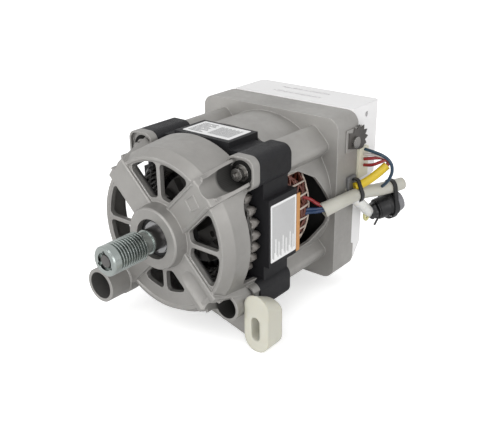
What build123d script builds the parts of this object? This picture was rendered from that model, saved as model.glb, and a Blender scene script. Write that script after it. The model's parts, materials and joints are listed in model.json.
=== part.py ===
"""Washing machine drive motor: a belt-drive induction motor with its inverter on the back.

Units are millimetres. The shaft lies along Y and the pulley points to -Y. +Z is up.
The origin is on the shaft's axis, in the plane of the front hub's face.
"""
from build123d import *
import math
import os

os.makedirs("parts", exist_ok=True)

# Stations along the shaft, each a length counted on from the one before
front_shield_depth = 46.5      # hub face to the stator's ears
ear_len = 36.0                 # the stator's four bolted ears
stack_setback = 7.5            # the ears stand this far ahead of the lamination stack
stack_len = 33.0
drum_len = 49.5                # rear shield's drum, ears to tray
tray_depth = 29.0              # rear shield's square electronics tray
cover_depth = 39.0             # plastic cover behind the tray, upper part
cover_low_depth = 21.0         # the same, lower part

ear_front_y = front_shield_depth
ear_rear_y = ear_front_y + ear_len
stack_front_y = ear_front_y + stack_setback
stack_rear_y = stack_front_y + stack_len
tray_front_y = ear_rear_y + drum_len
tray_rear_y = tray_front_y + tray_depth
cover_rear_y = tray_rear_y + cover_depth

# Sections across the shaft
bolt_pitch = 95.0              # square of the four through bolts, hole to hole
flat_half = 61.3               # stator's four flats, from the axis
flat_half_w = 26.0             # half the width of each flat
ear_half = 59.5                # ears' outer faces, from the axis
ear_inner = 36.0               # ears' inner edges, from the axis
ear_corner_r = 8.0
skirt_r = 64.5                 # front shield's skirt at its open edge
drum_r = 62.5                  # rear shield's drum
tray_half = 66.4
tray_corner_r = 10.0
cast_wall = 3.0                # wall of both castings
bolt_c = bolt_pitch / 2
bolt_ring_r = bolt_c * math.sqrt(2)

# Fits
run_clearance = 0.05           # round a shaft in a hole that it turns in
ball_clearance = 0.2           # between a ball and its races or its cage
fit_clearance = 0.02           # between a pressed pair
gap = 0.3                      # between parts that nearly touch
overrun = 5.0                  # how far a cutting tool runs past the face it cuts

# Shaft and pulley
pulley_reach = 43.0            # pulley's end face ahead of the hub face
pulley_r = 10.6                # over the ribs
pulley_land = 5.7
groove_count = 10
groove_pitch = 2.34
groove_depth = 1.9
groove_tip = 0.35              # flat on each rib's tip
pulley_chamfer = 0.8
neck_r = 8.0
neck_flange_r = 8.9
neck_flange_t = 1.5
neck_end = 4.0                 # pulley's inner end ahead of the hub face
recess_r = 6.4
recess_depth = 2.6
recess_notch_r = 1.3
nose_r = 4.4                   # shaft's end inside the recess
nose_stand = 1.8
pulley_bore_r = 5.5
front_seat_r = 8.5             # shaft in the front bearing
rotor_seat_r = 9.5
rear_seat_r = 7.5              # shaft in the rear bearing
magnet_seat_r = 4.0

# Bearings: bore radius, outer radius, width, ball radius, ball count
front_bearing_od_r = 20.0
front_bearing_w = 12.0
front_ball_r = 3.35
rear_bearing_od_r = 17.5
rear_bearing_w = 11.0
rear_ball_r = 2.98
ball_count = 8
race_land_share = 0.72         # half gap between the rings, as a share of the ball's radius
cage_wall_share = 0.22         # cage's half wall, as a share of the ball's radius
seal_t = 0.6
seal_inset = 0.5

# Rotor and stator
rotor_r = 35.2
stator_bore_r = 35.8
slot_count = 36
slot_bottom_r = 52.0
slot_w = 3.6
slot_mouth_w = 1.6
slot_mouth_depth = 1.4
end_ring_in_r = 22.0
end_ring_out_r = 34.2
end_ring_len = 8.0
blade_count = 12
blade_len = 6.0
blade_t = 2.2

# Windings
yoke_r = 57.5                  # stator's round yoke inside the ears
groove_half = 56.5             # bottom of the grooves between flats and ears, from the axis
front_winding_reach = 19.0
winding_lift = 1.0
winding_front_y = stack_front_y - front_winding_reach
winding_front_end = stack_front_y - winding_lift
end_winding_in_r = 38.0
end_winding_out_r = 54.0
end_winding_round = 5.0
knuckle_ring_r = 52.2          # lumps of the front winding's coils
knuckle_r = 3.8
knuckle_len = 9.5
knuckle_inset = 5.5
knuckle_y = winding_front_y + knuckle_inset
rear_ring_r = 46.5             # rear winding's ring, to the middle of its section
rear_ring_half_w = 8.0
rear_ring_half_l = 9.5
rear_ring_stand = 13.0
rear_ring_y = stack_rear_y + rear_ring_stand
rear_winding_y = rear_ring_y - rear_ring_half_l
lace_r = 0.8
lace_lift = 0.1
lace_sides = 6
lace_turns = 17
lace_pitch_count = 18          # turns that a full circle would have
lace_start_angle = -90.0        # its turns pass the stack between two slots

# Front shield
hub_r = 23.0
hub_bore_r = 14.9
hub_len = 21.0
hub_lip = 5.0                  # thickness of the lip ahead of the front bearing
arm_face = 8.0                 # arms' faces behind the hub face
arm_depth = 9.0
arm_w = 22.0
window_face = 10.0             # rim and ribs behind the hub face
plate_t = 4.0
window_in_r = 27.5
window_out_r = 53.5
low_window_out_r = 44.0
window_corner_r = 3.5
rib_w = 3.0
skirt_front_r = 62.0           # skirt behind the shoulder
hub_root_r = 24.5              # hub flares a little towards the arms
hub_edge = 1.0
bead_r = 54.0                  # raised rim outside the windows
bead_h = 0.8
window_bar_w = 24.0            # plate left between windows, behind each arm
channel_wall = 1.7
arch_from = 51.0               # where the side arches start, from the axis
bushing_arm_root_x = 12.0      # arm's lower edge: where it leaves the skirt, and a corner further on
bushing_arm_low_x = 30.0
bushing_arm_low_z = -66.0
bushing_arm_drop = 16.5        # arm's lower edge under the bushing's middle
bushing_arm_rise = 11.0
tongue_inset = 2.5             # wall left between the tongue and the slot
shoulder_r = 57.0              # where the rim starts to round over
shoulder_len = 7.0
arm_tip_r = 60.0               # corner blocks, from the axis: at the arms' faces
corner_front_r = 62.5          # behind the rim's plate
corner_rear_r = 72.5           # and at the ears
arm_trim_r = 63.5              # bosses inside the skirt end here
lug_rim_h = 2.5                # thin rim round each bolt's seat
lug_rim_w = 1.7
well_rim_y = 22.0              # well round the bolt at the bushing's corner
well_wall = 2.2
lug_t = 4.5
channel_w = 17.5               # open channel over each bolt
bolt_r = 2.5
bolt_hole_r = 2.75
arch_front = 15.5              # side arch opening, length from the ears
arch_half = 34.0               # half its height
arch_rise = 2.0                # its middle above the axis
arch_corner_r = 14.0
arch_low_corner_r = 5.0
spigot_r = 13.3                # tube at the lower left corner
spigot_bore_r = 10.6
spigot_reach = 11.0            # its end ahead of the hub face
spigot_seat_len = 18.0         # turned part, up to a shoulder
spigot_root_r = 14.0
arm_edge_r = 1.2
trough_r = 13.25               # hollow along the arm to the bushing's corner
trough_depth = 2.0
trough_from = 38.0
arm_rim_w = 1.2                # raised rims along the upper right arm
arm_rim_h = 0.8
arm_rim_from = 24.0
arm_rim_to = 56.0
frame_side = 9.5               # small bare frame on the same arm
frame_line = 0.7
frame_h = 0.5
frame_at = 32.4

# Rear shield
boss_r = 13.0
floor_t = 3.0
rear_hub_r = 21.0
rear_hub_len = 17.0
mouth_half = 33.0              # half the height of the drum's side mouths
tray_inner = tray_half - cast_wall
boss_reach = 74.0              # corner bosses' outer end, from the axis
boss_w = 12.0                  # half their width
boss_round = 5.0
mouth_rim = 1.0                # web left between a side mouth and the tray
mouth_len = 52.0               # side mouths, along the drum
mouth_round = 5.0
mouth_shares = [(0.0, 0.0), (0.28, 0.72), (0.6, 1.0), (1.1, 1.05), (1.1, -0.9), (0.35, -0.86), (0.02, -0.52)]
cover_screw_inset = 6.9
cover_screw_x = tray_half - cover_screw_inset
cover_screw_z = 38.0
cover_post_r = 4.2
cover_flange_t = 2.5
cover_seat_y = tray_rear_y - cover_flange_t

# Fasteners
bolt_washer_t = 1.0
bolt_washer_r = 6.0
bolt_head_r = 4.5
bolt_head_h = 5.0
bolt_socket_r = 2.4
bolt_len = 82.0
snap_ring_r = 11.4
snap_ring_t = 1.2
snap_ring_gap = 4.0
spring_t = 0.6
spring_free_h = 1.7
spring_land = 4.0
small_screw_r = 1.5
small_screw_len = 9.0
small_screw_head_r = 3.0
small_screw_head_h = 2.2
ground_screw_r = 2.5
ground_screw_head_r = 4.6
ground_screw_head_h = 3.0
ground_screw_y = 154.0
ground_screw_z = 44.0
notch_top = -9.0
notch_bottom = -45.0
notch_depth = 3.0

# Electronics tray
post_r = 4.0                   # posts that carry the circuit board
post_inset = 14.4
post_c = tray_half - post_inset
board_depth = 17.0
board_y = tray_front_y + board_depth
board_inset = 11.9
board_half = tray_half - board_inset
board_t = 1.6
capacitor_r = 9.5
capacitor_len = 36.0
capacitor_rim = 1.2
high_part_inset = 26.4
capacitor_z = tray_half - high_part_inset
capacitor_pitch = 22.0
capacitor_count = 3
capacitor_row_x = -12.0
choke_x = tray_half - high_part_inset
choke_z = tray_half - high_part_inset
choke_r = 12.0
choke_hole_r = 5.5
choke_h = 14.0
module_x = -8.0
module_z = -18.0
module_w = 70.0
module_h = 28.0
module_t = 7.0
sensor_w = 9.0
socket_inset = 16.4
socket_from = tray_half - socket_inset
socket_top = 32.5
socket_bottom = 14.0
socket_len = 11.5

# Plastic cover
cover_left_inset = 10.4
cover_inset = 4.4
cover_top_stand = 1.1
cover_left = cover_left_inset - tray_half
cover_right = tray_half - cover_inset
cover_top = tray_half + cover_top_stand
cover_bottom = cover_inset - tray_half
cover_step_z = 8.0             # the deep upper part ends here
cover_step_drop = 5.0
cover_chamfer_h = 15.0         # sloped foot of the lower part
cover_chamfer_l = 12.0
cover_wall = 2.5
cover_corner_r = 4.0
cover_slot_len = 47.0
cover_slot_w = 2.6
cover_slot_x = -1.5
cover_slot_ys = (14.0, 27.0)   # behind the tray's rear edge
cover_hole_r = 2.2
cover_hole_back = 19.6
cover_hole_drop = 8.2
cover_hole_z = cover_top - cover_hole_drop

# Harness on the right side
connector_w = 6.5
connector_top = 36.5
connector_bottom = 12.0
connector_len = 14.0
clip_plate_t = 1.0
clip_plate_front = 143.0
clip_plate_rear = 165.0
clip_plate_top = 55.0
clip_plate_bottom = 37.5
sleeve_r = 5.25
small_sleeve_r = 2.75
wire_r = 1.3
bend_share = 0.45              # share of the shorter run that a bend may take
# Routes: stand from the tray's side wall, station, height
main_stands = [(-4.9, 111.0, -3.4), (0.1, 117.5, 0.2), (5.7, 128.6, 3.4), (6.3, 145.0, 3.0), (8.0, 161.6, 2.4),
               (14.1, 178.0, 0.6), (21.6, 198.0, 1.2)]
yellow_stands = [(4.2, 148.0, 11.6), (6.2, 157.0, 11.6), (13.1, 164.5, 14.8), (17.9, 168.3, 19.4),
                 (20.5, 171.3, 23.6)]
navy_stands = [(2.45, 168.6, 34.7), (9.6, 168.6, 34.1), (19.6, 168.6, 32.6), (25.6, 169.5, 28.2),
               (26.1, 171.9, 20.5), (24.1, 171.7, 13.9), (19.6, 173.6, 7.9), (16.5, 174.2, 4.8)]
red_stands = [(2.45, 168.2, 26.7), (9.6, 169.4, 28.4), (15.4, 172.0, 29.2), (20.2, 174.3, 28.6),
              (21.2, 174.1, 25.6), (19.7, 172.4, 23.3)]
low_red_stands = [(2.45, 168.7, 21.6), (9.6, 167.3, 22.8), (16.2, 168.8, 26.6), (20.8, 171.6, 29.2),
                  (22.9, 172.1, 26.5), (21.3, 170.2, 23.9)]
plug_r = 9.5
plug_neck_r = 4.5
plug_from = (tray_half + 10.4, 179.6, -18.0)
plug_to = (tray_half + 18.6, 193.1, -14.3)
plug_neck_len = 6.0
cap_r = 8.0
cap_len = 6.0
cap_round = 2.5
tie_w = 3.6
tie_t = 1.2
tie_slack = 0.05
tie_one_y = 151.5
tie_two_y = 187.0
clip_base_z = 2.0
clip_base_w = 12.0
clip_base_len = 11.0
clip_base_t = 0.35
flap_t = 0.6
flap_top = 21.0
flap_bottom = -25.0
flap_len = 4.4
flap_lap = 4.0
protector_w = 10.0
protector_h = 3.5
protector_len = 12.0
protector_angle = -100.0

# Nylon bushing at the lower right corner
bushing_x = 69.0
bushing_z = -57.0
bushing_w = 21.5
bushing_h = 45.0
bushing_t = 16.0
bushing_front = 29.0           # its front face behind the hub face
bushing_slot_w = 7.4
bushing_slot_h = 18.5
bushing_slot_shift = 0.8       # slot's centre towards the motor from the block's
bushing_slot_drop = 4.4        # slot's centre under the block's
tongue_t = 7.0
tongue_w = 15.0


def station(y):
    """Sketch plane square to the shaft at y: its x is +X and its y is +Z."""
    return Plane.XZ.offset(-y)


def back(y0, y1):
    """Extrusion amount that runs from station y0 towards +Y, to y1."""
    return y0 - y1


def save(builder, name):
    """Labels a finished piece and writes its file."""
    builder.part.label = name
    export_step(builder.part, "parts/" + name + ".step")


def turned(*profile):
    """A solid turned about the shaft from its half section, given as (radius, y) corners."""
    with BuildPart() as blank:
        with BuildSketch(Plane.XY):
            with BuildLine():
                Polyline(*profile, close=True)
            make_face()
        revolve(axis=Axis.Y)
    return blank


def ring(inner, outer, y0, y1):
    """A plain ring about the shaft."""
    return turned((inner, y0), (outer, y0), (outer, y1), (inner, y1))


# Shaft
front_bearing_y = hub_lip
front_bearing_end = front_bearing_y + front_bearing_w
rear_bearing_end = tray_front_y - floor_t / 2
rear_bearing_y = rear_bearing_end - rear_bearing_w
magnet_y = tray_front_y + floor_t + gap * 2
magnet_len = 5.0
magnet_r = 7.0
shaft_rear_y = magnet_y + magnet_len
shaft_seat_end = stack_rear_y + end_ring_len + blade_len
core_seat_y = stack_front_y - end_ring_len
motor_shaft = turned(
    (0, -pulley_reach + recess_depth - nose_stand),
    (nose_r, -pulley_reach + recess_depth - nose_stand),
    (nose_r, -pulley_reach + recess_depth + nose_stand),
    (pulley_bore_r - fit_clearance, -pulley_reach + recess_depth + nose_stand),
    (pulley_bore_r - fit_clearance, -neck_end),
    (front_seat_r, -neck_end),
    (front_seat_r, front_bearing_end),
    (rotor_seat_r, front_bearing_end),
    (rotor_seat_r, rear_bearing_y),
    (rear_seat_r, rear_bearing_y),
    (rear_seat_r, rear_bearing_end),
    (magnet_seat_r, rear_bearing_end),
    (magnet_seat_r, shaft_rear_y),
    (0, shaft_rear_y),
)
save(motor_shaft, "motor_shaft")

# Grooved pulley with its neck, pressed on the shaft's end
pulley_front = -pulley_reach
groove_start = pulley_front + pulley_land
groove_end = groove_start + groove_count * groove_pitch
groove_floor_r = pulley_r - groove_depth
flank = (groove_pitch - 2 * groove_tip) / 2
pulley_profile = [
    (pulley_bore_r, pulley_front + recess_depth),
    (recess_r, pulley_front + recess_depth),
    (recess_r, pulley_front),
    (pulley_r - pulley_chamfer, pulley_front),
    (pulley_r, pulley_front + pulley_chamfer),
]
for groove in range(groove_count):
    groove_y = groove_start + groove * groove_pitch
    pulley_profile.append((pulley_r, groove_y + groove_tip))
    pulley_profile.append((groove_floor_r, groove_y + groove_tip + flank))
    pulley_profile.append((pulley_r, groove_y + groove_pitch - groove_tip))
pulley_profile += [
    (pulley_r, groove_end + groove_tip),
    (neck_r, groove_end + pulley_r - neck_r),
    (neck_r, -neck_end - neck_flange_t),
    (neck_flange_r, -neck_end - neck_flange_t),
    (neck_flange_r, -neck_end),
    (pulley_bore_r, -neck_end),
]
with BuildPart() as drive_pulley:
    add(turned(*pulley_profile).part)
    with BuildSketch(station(pulley_front - overrun)):
        with PolarLocations(recess_r, 3, start_angle=90):
            Circle(recess_notch_r)
    extrude(amount=back(pulley_front - overrun, pulley_front + recess_depth), mode=Mode.SUBTRACT)
save(drive_pulley, "drive_pulley")


# Ball bearings
def bearing(name, bore_r, outer_r, y0, width, ball_r):
    """Makes the rings, balls, cage and two seals of one deep-groove ball bearing."""
    pitch_r = (bore_r + outer_r) / 2
    middle = y0 + width / 2
    land = ball_r * race_land_share
    groove_r = ball_r + ball_clearance
    for part_name, inner, outer in (
        ("outer_ring", pitch_r + land, outer_r),
        ("inner_ring", bore_r, pitch_r - land),
    ):
        with BuildPart() as race:
            with BuildSketch(Plane.XY):
                with Locations(((inner + outer) / 2, middle)):
                    Rectangle(outer - inner, width)
                with Locations((pitch_r, middle)):
                    Circle(groove_r, mode=Mode.SUBTRACT)
            revolve(axis=Axis.Y)
        save(race, name + "_" + part_name)
    with BuildPart() as balls:
        with Locations(Plane.XZ.offset(-middle)):
            with PolarLocations(pitch_r, ball_count):
                Sphere(ball_r)
    save(balls, name + "_balls")
    with BuildPart() as cage:
        half_wall = ball_r * cage_wall_share
        half_len = ball_r * (1 + cage_wall_share)
        add(ring(pitch_r - half_wall, pitch_r + half_wall, middle - half_len, middle + half_len).part)
        for pocket in range(ball_count):
            outward = Vector(1, 0, 0).rotate(Axis.Y, pocket * 360 / ball_count)
            with BuildSketch(Plane(origin=(0, middle, 0), z_dir=outward)):
                Circle(groove_r)
            extrude(amount=outer_r, mode=Mode.SUBTRACT)
    save(cage, name + "_cage")
    with BuildPart() as seals:
        seal_in = pitch_r - land + run_clearance
        seal_out = pitch_r + land - fit_clearance
        add(ring(seal_in, seal_out, y0 + seal_inset, y0 + seal_inset + seal_t).part)
        far = y0 + width - seal_inset
        add(ring(seal_in, seal_out, far - seal_t, far).part)
    save(seals, name + "_seals")


bearing("front_bearing", front_seat_r + fit_clearance, front_bearing_od_r,
        front_bearing_y, front_bearing_w, front_ball_r)
bearing("rear_bearing", rear_seat_r + fit_clearance, rear_bearing_od_r,
        rear_bearing_y, rear_bearing_w, rear_ball_r)

# Disc spring between the rear bearing's outer ring and the shield's shoulder
spring_outer = rear_bearing_od_r - gap
preload_spring = turned(
    (spring_outer - spring_land, rear_bearing_end + spring_free_h - spring_t),
    (spring_outer, rear_bearing_end),
    (spring_outer, rear_bearing_end + spring_t),
    (spring_outer - spring_land, rear_bearing_end + spring_free_h),
)
save(preload_spring, "preload_spring")

# Rotor: laminated core and two cast end rings with blades
with BuildPart() as rotor_core:
    add(ring(rotor_seat_r + fit_clearance, rotor_r, stack_front_y, stack_rear_y).part)
    with BuildSketch(station(stack_front_y - overrun)):
        with PolarLocations((rotor_seat_r + end_ring_in_r) / 2, slot_count // 6):
            Circle((end_ring_in_r - rotor_seat_r) / 5)
    extrude(amount=back(stack_front_y - overrun, stack_rear_y + overrun), mode=Mode.SUBTRACT)
save(rotor_core, "rotor_core")


def end_ring(name, face_y, direction):
    """A cast ring against the core's end, with radial blades that stand off it."""
    ring_end = face_y + direction * end_ring_len
    blade_end = ring_end + direction * blade_len
    with BuildPart() as casting:
        add(ring(end_ring_in_r, end_ring_out_r, min(face_y, ring_end), max(face_y, ring_end)).part)
        with BuildSketch(station(ring_end)):
            with PolarLocations((end_ring_in_r + end_ring_out_r) / 2, blade_count):
                Rectangle(end_ring_out_r - end_ring_in_r - blade_t, blade_t)
        extrude(amount=back(ring_end, blade_end))
    save(casting, name)


end_ring("rotor_end_ring_front", stack_front_y, -1)
end_ring("rotor_end_ring_rear", stack_rear_y, 1)

# Speed sensor's magnet on the shaft's rear end
position_magnet = ring(magnet_seat_r + fit_clearance, magnet_r, magnet_y, shaft_rear_y)
save(position_magnet, "position_magnet")

# Stator stack: flats on four sides, and ears at the corners for the through bolts
ear_side = ear_half - ear_inner
ear_mid = (ear_half + ear_inner) / 2
tooth_tip_r = stator_bore_r + slot_mouth_depth
with BuildPart() as stator_core:
    with BuildSketch(station(ear_front_y)):
        with GridLocations(2 * ear_mid, 2 * ear_mid, 2, 2):
            RectangleRounded(ear_side, ear_side, ear_corner_r - 1)
        Circle(yoke_r, mode=Mode.SUBTRACT)
    extrude(amount=back(ear_front_y, ear_rear_y))
    with BuildSketch(station(stack_front_y)):
        Rectangle(2 * flat_half, 2 * flat_half_w)
        Rectangle(2 * flat_half_w, 2 * flat_half)
        Circle(yoke_r)
    extrude(amount=back(stack_front_y, stack_rear_y))
    with BuildSketch(station(stack_front_y)):
        RectangleRounded(2 * groove_half, 2 * groove_half, ear_corner_r)
        Circle(yoke_r - gap, mode=Mode.SUBTRACT)
    extrude(amount=back(stack_front_y, ear_rear_y))
    with BuildSketch(station(stack_front_y - overrun)):
        Circle(stator_bore_r)
        with PolarLocations((slot_bottom_r + tooth_tip_r) / 2, slot_count):
            Rectangle(slot_bottom_r - tooth_tip_r, slot_w)
        with PolarLocations(tooth_tip_r - slot_mouth_depth / 2, slot_count):
            Rectangle(2 * slot_mouth_depth, slot_mouth_w)
    extrude(amount=back(stack_front_y - overrun, stack_rear_y + overrun), mode=Mode.SUBTRACT)
    with BuildSketch(station(ear_front_y - overrun)):
        with GridLocations(bolt_pitch, bolt_pitch, 2, 2):
            Circle(bolt_hole_r)
    extrude(amount=back(ear_front_y - overrun, stack_rear_y + overrun), mode=Mode.SUBTRACT)
save(stator_core, "stator_core")

# Conductors that run through the slots from one end winding to the other
bar_in_r = tooth_tip_r + gap
bar_out_r = slot_bottom_r - gap
with BuildPart() as slot_conductors:
    with BuildSketch(station(winding_front_end)):
        with PolarLocations((bar_in_r + bar_out_r) / 2, slot_count):
            Rectangle(bar_out_r - bar_in_r, slot_w - gap)
    extrude(amount=back(winding_front_end, rear_winding_y))
save(slot_conductors, "slot_conductors")

# Front end winding: a varnished ring with one lump for each coil's knuckle
with BuildPart() as front_winding:
    with BuildSketch(Plane.XY):
        with Locations(((end_winding_in_r + end_winding_out_r) / 2, (winding_front_y + winding_front_end) / 2)):
            RectangleRounded(end_winding_out_r - end_winding_in_r,
                             winding_front_end - winding_front_y, end_winding_round)
    revolve(axis=Axis.Y)
    with BuildSketch(station(knuckle_y)):
        with PolarLocations(knuckle_ring_r, slot_count):
            Circle(knuckle_r)
    extrude(amount=back(knuckle_y, knuckle_y + knuckle_len))
save(front_winding, "front_winding")

# Rear end winding: a copper ring of near-round section
with BuildPart() as rear_winding:
    with BuildSketch(Plane.XY):
        with Locations((rear_ring_r, rear_ring_y)):
            Ellipse(rear_ring_half_w, rear_ring_half_l)
    revolve(axis=Axis.Y)
save(rear_winding, "rear_winding")

# Lacing cord wound round the rear end winding, one unbroken tube
lace_a = rear_ring_half_w + lace_r + lace_lift
lace_b = rear_ring_half_l + lace_r + lace_lift
lace_step = math.radians(360 / lace_pitch_count)
lace_start = math.radians(lace_start_angle)


def lace_point(turn):
    """Point and direction of the cord's centre line after so many turns."""
    round_angle = 2 * math.pi * turn
    about = lace_start + lace_step * turn
    radius = rear_ring_r + lace_a * math.cos(round_angle)
    slope = -lace_a * math.sin(round_angle) * 2 * math.pi
    place = Vector(radius * math.cos(about), rear_ring_y + lace_b * math.sin(round_angle),
                   radius * math.sin(about))
    way = Vector(slope * math.cos(about) - radius * math.sin(about) * lace_step,
                 lace_b * math.cos(round_angle) * 2 * math.pi,
                 slope * math.sin(about) + radius * math.cos(about) * lace_step)
    return place, way.normalized()


def biarc_joint(start, start_way, end, end_way):
    """Where the two arcs meet that join two points and keep both directions, and their way there."""
    across = end - start
    a = 2 * start_way.dot(end_way) - 2
    b = -2 * across.dot(start_way + end_way)
    reach = (-b - math.sqrt(b * b - 4 * a * across.dot(across))) / (2 * a)
    first = start + start_way * reach
    last = end - end_way * reach
    return (first + last) * 0.5, (last - first).normalized()


lace_quarters = 4 * lace_turns
with BuildPart() as rear_lacing_cord:
    with BuildLine() as lace_line:
        place, way = lace_point(0)
        lace_points = [place]
        Line(place - way * 2 * lace_r, place)
        for quarter in range(lace_quarters):
            next_place, next_way = lace_point((quarter + 1) / 4)
            joint, joint_way = biarc_joint(place, way, next_place, next_way)
            TangentArc(place, joint, tangent=way)
            TangentArc(joint, next_place, tangent=joint_way)
            lace_points += [joint, next_place]
            place, way = next_place, next_way
        Line(place, place + way * 2 * lace_r)
    lace_place, lace_way = lace_point(0)
    with BuildSketch(Plane(origin=lace_place - lace_way * 2 * lace_r, z_dir=lace_way)):
        RegularPolygon(lace_r, lace_sides)
    sweep(path=lace_line.line, clean=False)
save(rear_lacing_cord, "rear_lacing_cord")
lace_skip = 4
lace_gap = min(
    (lace_points[i] - lace_points[j]).length
    for i in range(len(lace_points))
    for j in range(i + lace_skip, len(lace_points))
) - 2 * lace_r
print("least gap of the lacing cord to itself", round(lace_gap, 2))


# Front end shield, one die casting: hub, four arms, ribs, rim, skirt, corner lugs and spigot
lug_face_y = ear_front_y - lug_t
plate_back = window_face + plate_t
shoulder_end = window_face + shoulder_len
arm_back = arm_face + arm_depth
inner_front_r = skirt_front_r - cast_wall
inner_rear_r = skirt_r - cast_wall
shell = turned(
    (0, 0),
    (hub_r - hub_edge, 0),
    (hub_r, hub_edge),
    (hub_root_r, window_face),
    (bead_r, window_face),
    (bead_r + hub_edge, window_face - bead_h),
    (shoulder_r, window_face - bead_h),
    (skirt_front_r, shoulder_end),
    (skirt_r, ear_front_y),
    (inner_rear_r, ear_front_y),
    (inner_front_r, shoulder_end),
    (shoulder_r - hub_edge, plate_back),
    (hub_root_r, plate_back),
    (hub_root_r, hub_len),
    (0, hub_len),
)

# Corner blocks and arms: four bars under a cone that rises to the lugs, hollow inside
corner_cone = turned(
    (0, arm_face),
    (arm_tip_r, arm_face),
    (corner_front_r, plate_back),
    (corner_rear_r, ear_front_y),
    (0, ear_front_y),
)
inner_hollow = turned(
    (0, arm_back),
    (inner_front_r, arm_back),
    (inner_rear_r, ear_front_y + overrun),
    (0, ear_front_y + overrun),
)
with BuildPart() as arms:
    with BuildSketch(station(arm_face)):
        Rectangle(2 * corner_rear_r, arm_w, rotation=45)
        Rectangle(2 * corner_rear_r, arm_w, rotation=-45)
    extrude(amount=back(arm_face, ear_front_y))
    add(corner_cone.part, mode=Mode.INTERSECT)
    fillet(arms.faces().sort_by(Axis.Y)[0].edges(), arm_edge_r)
    with BuildSketch(station(lug_face_y - lug_rim_h)):
        with GridLocations(2 * ear_mid, 2 * ear_mid, 2, 2):
            RectangleRounded(ear_side, ear_side, ear_corner_r - 1)
    extrude(amount=back(lug_face_y - lug_rim_h, ear_front_y))
    with BuildSketch(station(lug_face_y - lug_rim_h)):
        with GridLocations(2 * ear_mid, 2 * ear_mid, 2, 2):
            RectangleRounded(ear_side - 2 * lug_rim_w, ear_side - 2 * lug_rim_w, ear_corner_r - 1 - lug_rim_w)
        Circle(skirt_r, mode=Mode.SUBTRACT)
    extrude(amount=back(lug_face_y - lug_rim_h, lug_face_y), mode=Mode.SUBTRACT)
    add(inner_hollow.part, mode=Mode.SUBTRACT)
    with BuildSketch(station(arm_back - overrun)):
        with GridLocations(bolt_pitch, bolt_pitch, 2, 2):
            Circle(channel_w / 2 + channel_wall)
        Circle(arm_trim_r, mode=Mode.INTERSECT)
    extrude(amount=back(arm_back - overrun, ear_front_y))
    with BuildSketch(station(well_rim_y)):
        with Locations((bolt_c, -bolt_c)):
            Circle(channel_w / 2 + well_wall)
    extrude(amount=back(well_rim_y, ear_front_y))
    # Rims and a small frame on the upper right arm, and the hollow along the lower right one
    rim_place = (arm_rim_from + arm_rim_to) / 2
    rim_side = arm_w / 2 - arm_edge_r - arm_rim_w / 2
    with BuildSketch(station(arm_face - arm_rim_h)):
        with Locations(Location((0, 0, 0), (0, 0, 45))):
            with Locations((rim_place, rim_side), (rim_place, -rim_side)):
                Rectangle(arm_rim_to - arm_rim_from, arm_rim_w)
    extrude(amount=back(arm_face - arm_rim_h, arm_back))
    with BuildSketch(station(arm_face - frame_h)):
        with Locations((frame_at, frame_at)):
            Rectangle(frame_side, frame_side, rotation=33)
            Rectangle(frame_side - 2 * frame_line, frame_side - 2 * frame_line, rotation=33, mode=Mode.SUBTRACT)
    extrude(amount=back(arm_face - frame_h, arm_back))
    trough_start = Vector(trough_from, 0, -trough_from) / math.sqrt(2) + Vector(0, arm_face + trough_depth - trough_r, 0)
    with BuildSketch(Plane(origin=trough_start, z_dir=(1, 0, -1))):
        Circle(trough_r)
    extrude(amount=bolt_ring_r - trough_from, mode=Mode.SUBTRACT)
    with Locations(trough_start):
        Sphere(trough_r, mode=Mode.SUBTRACT)

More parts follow.
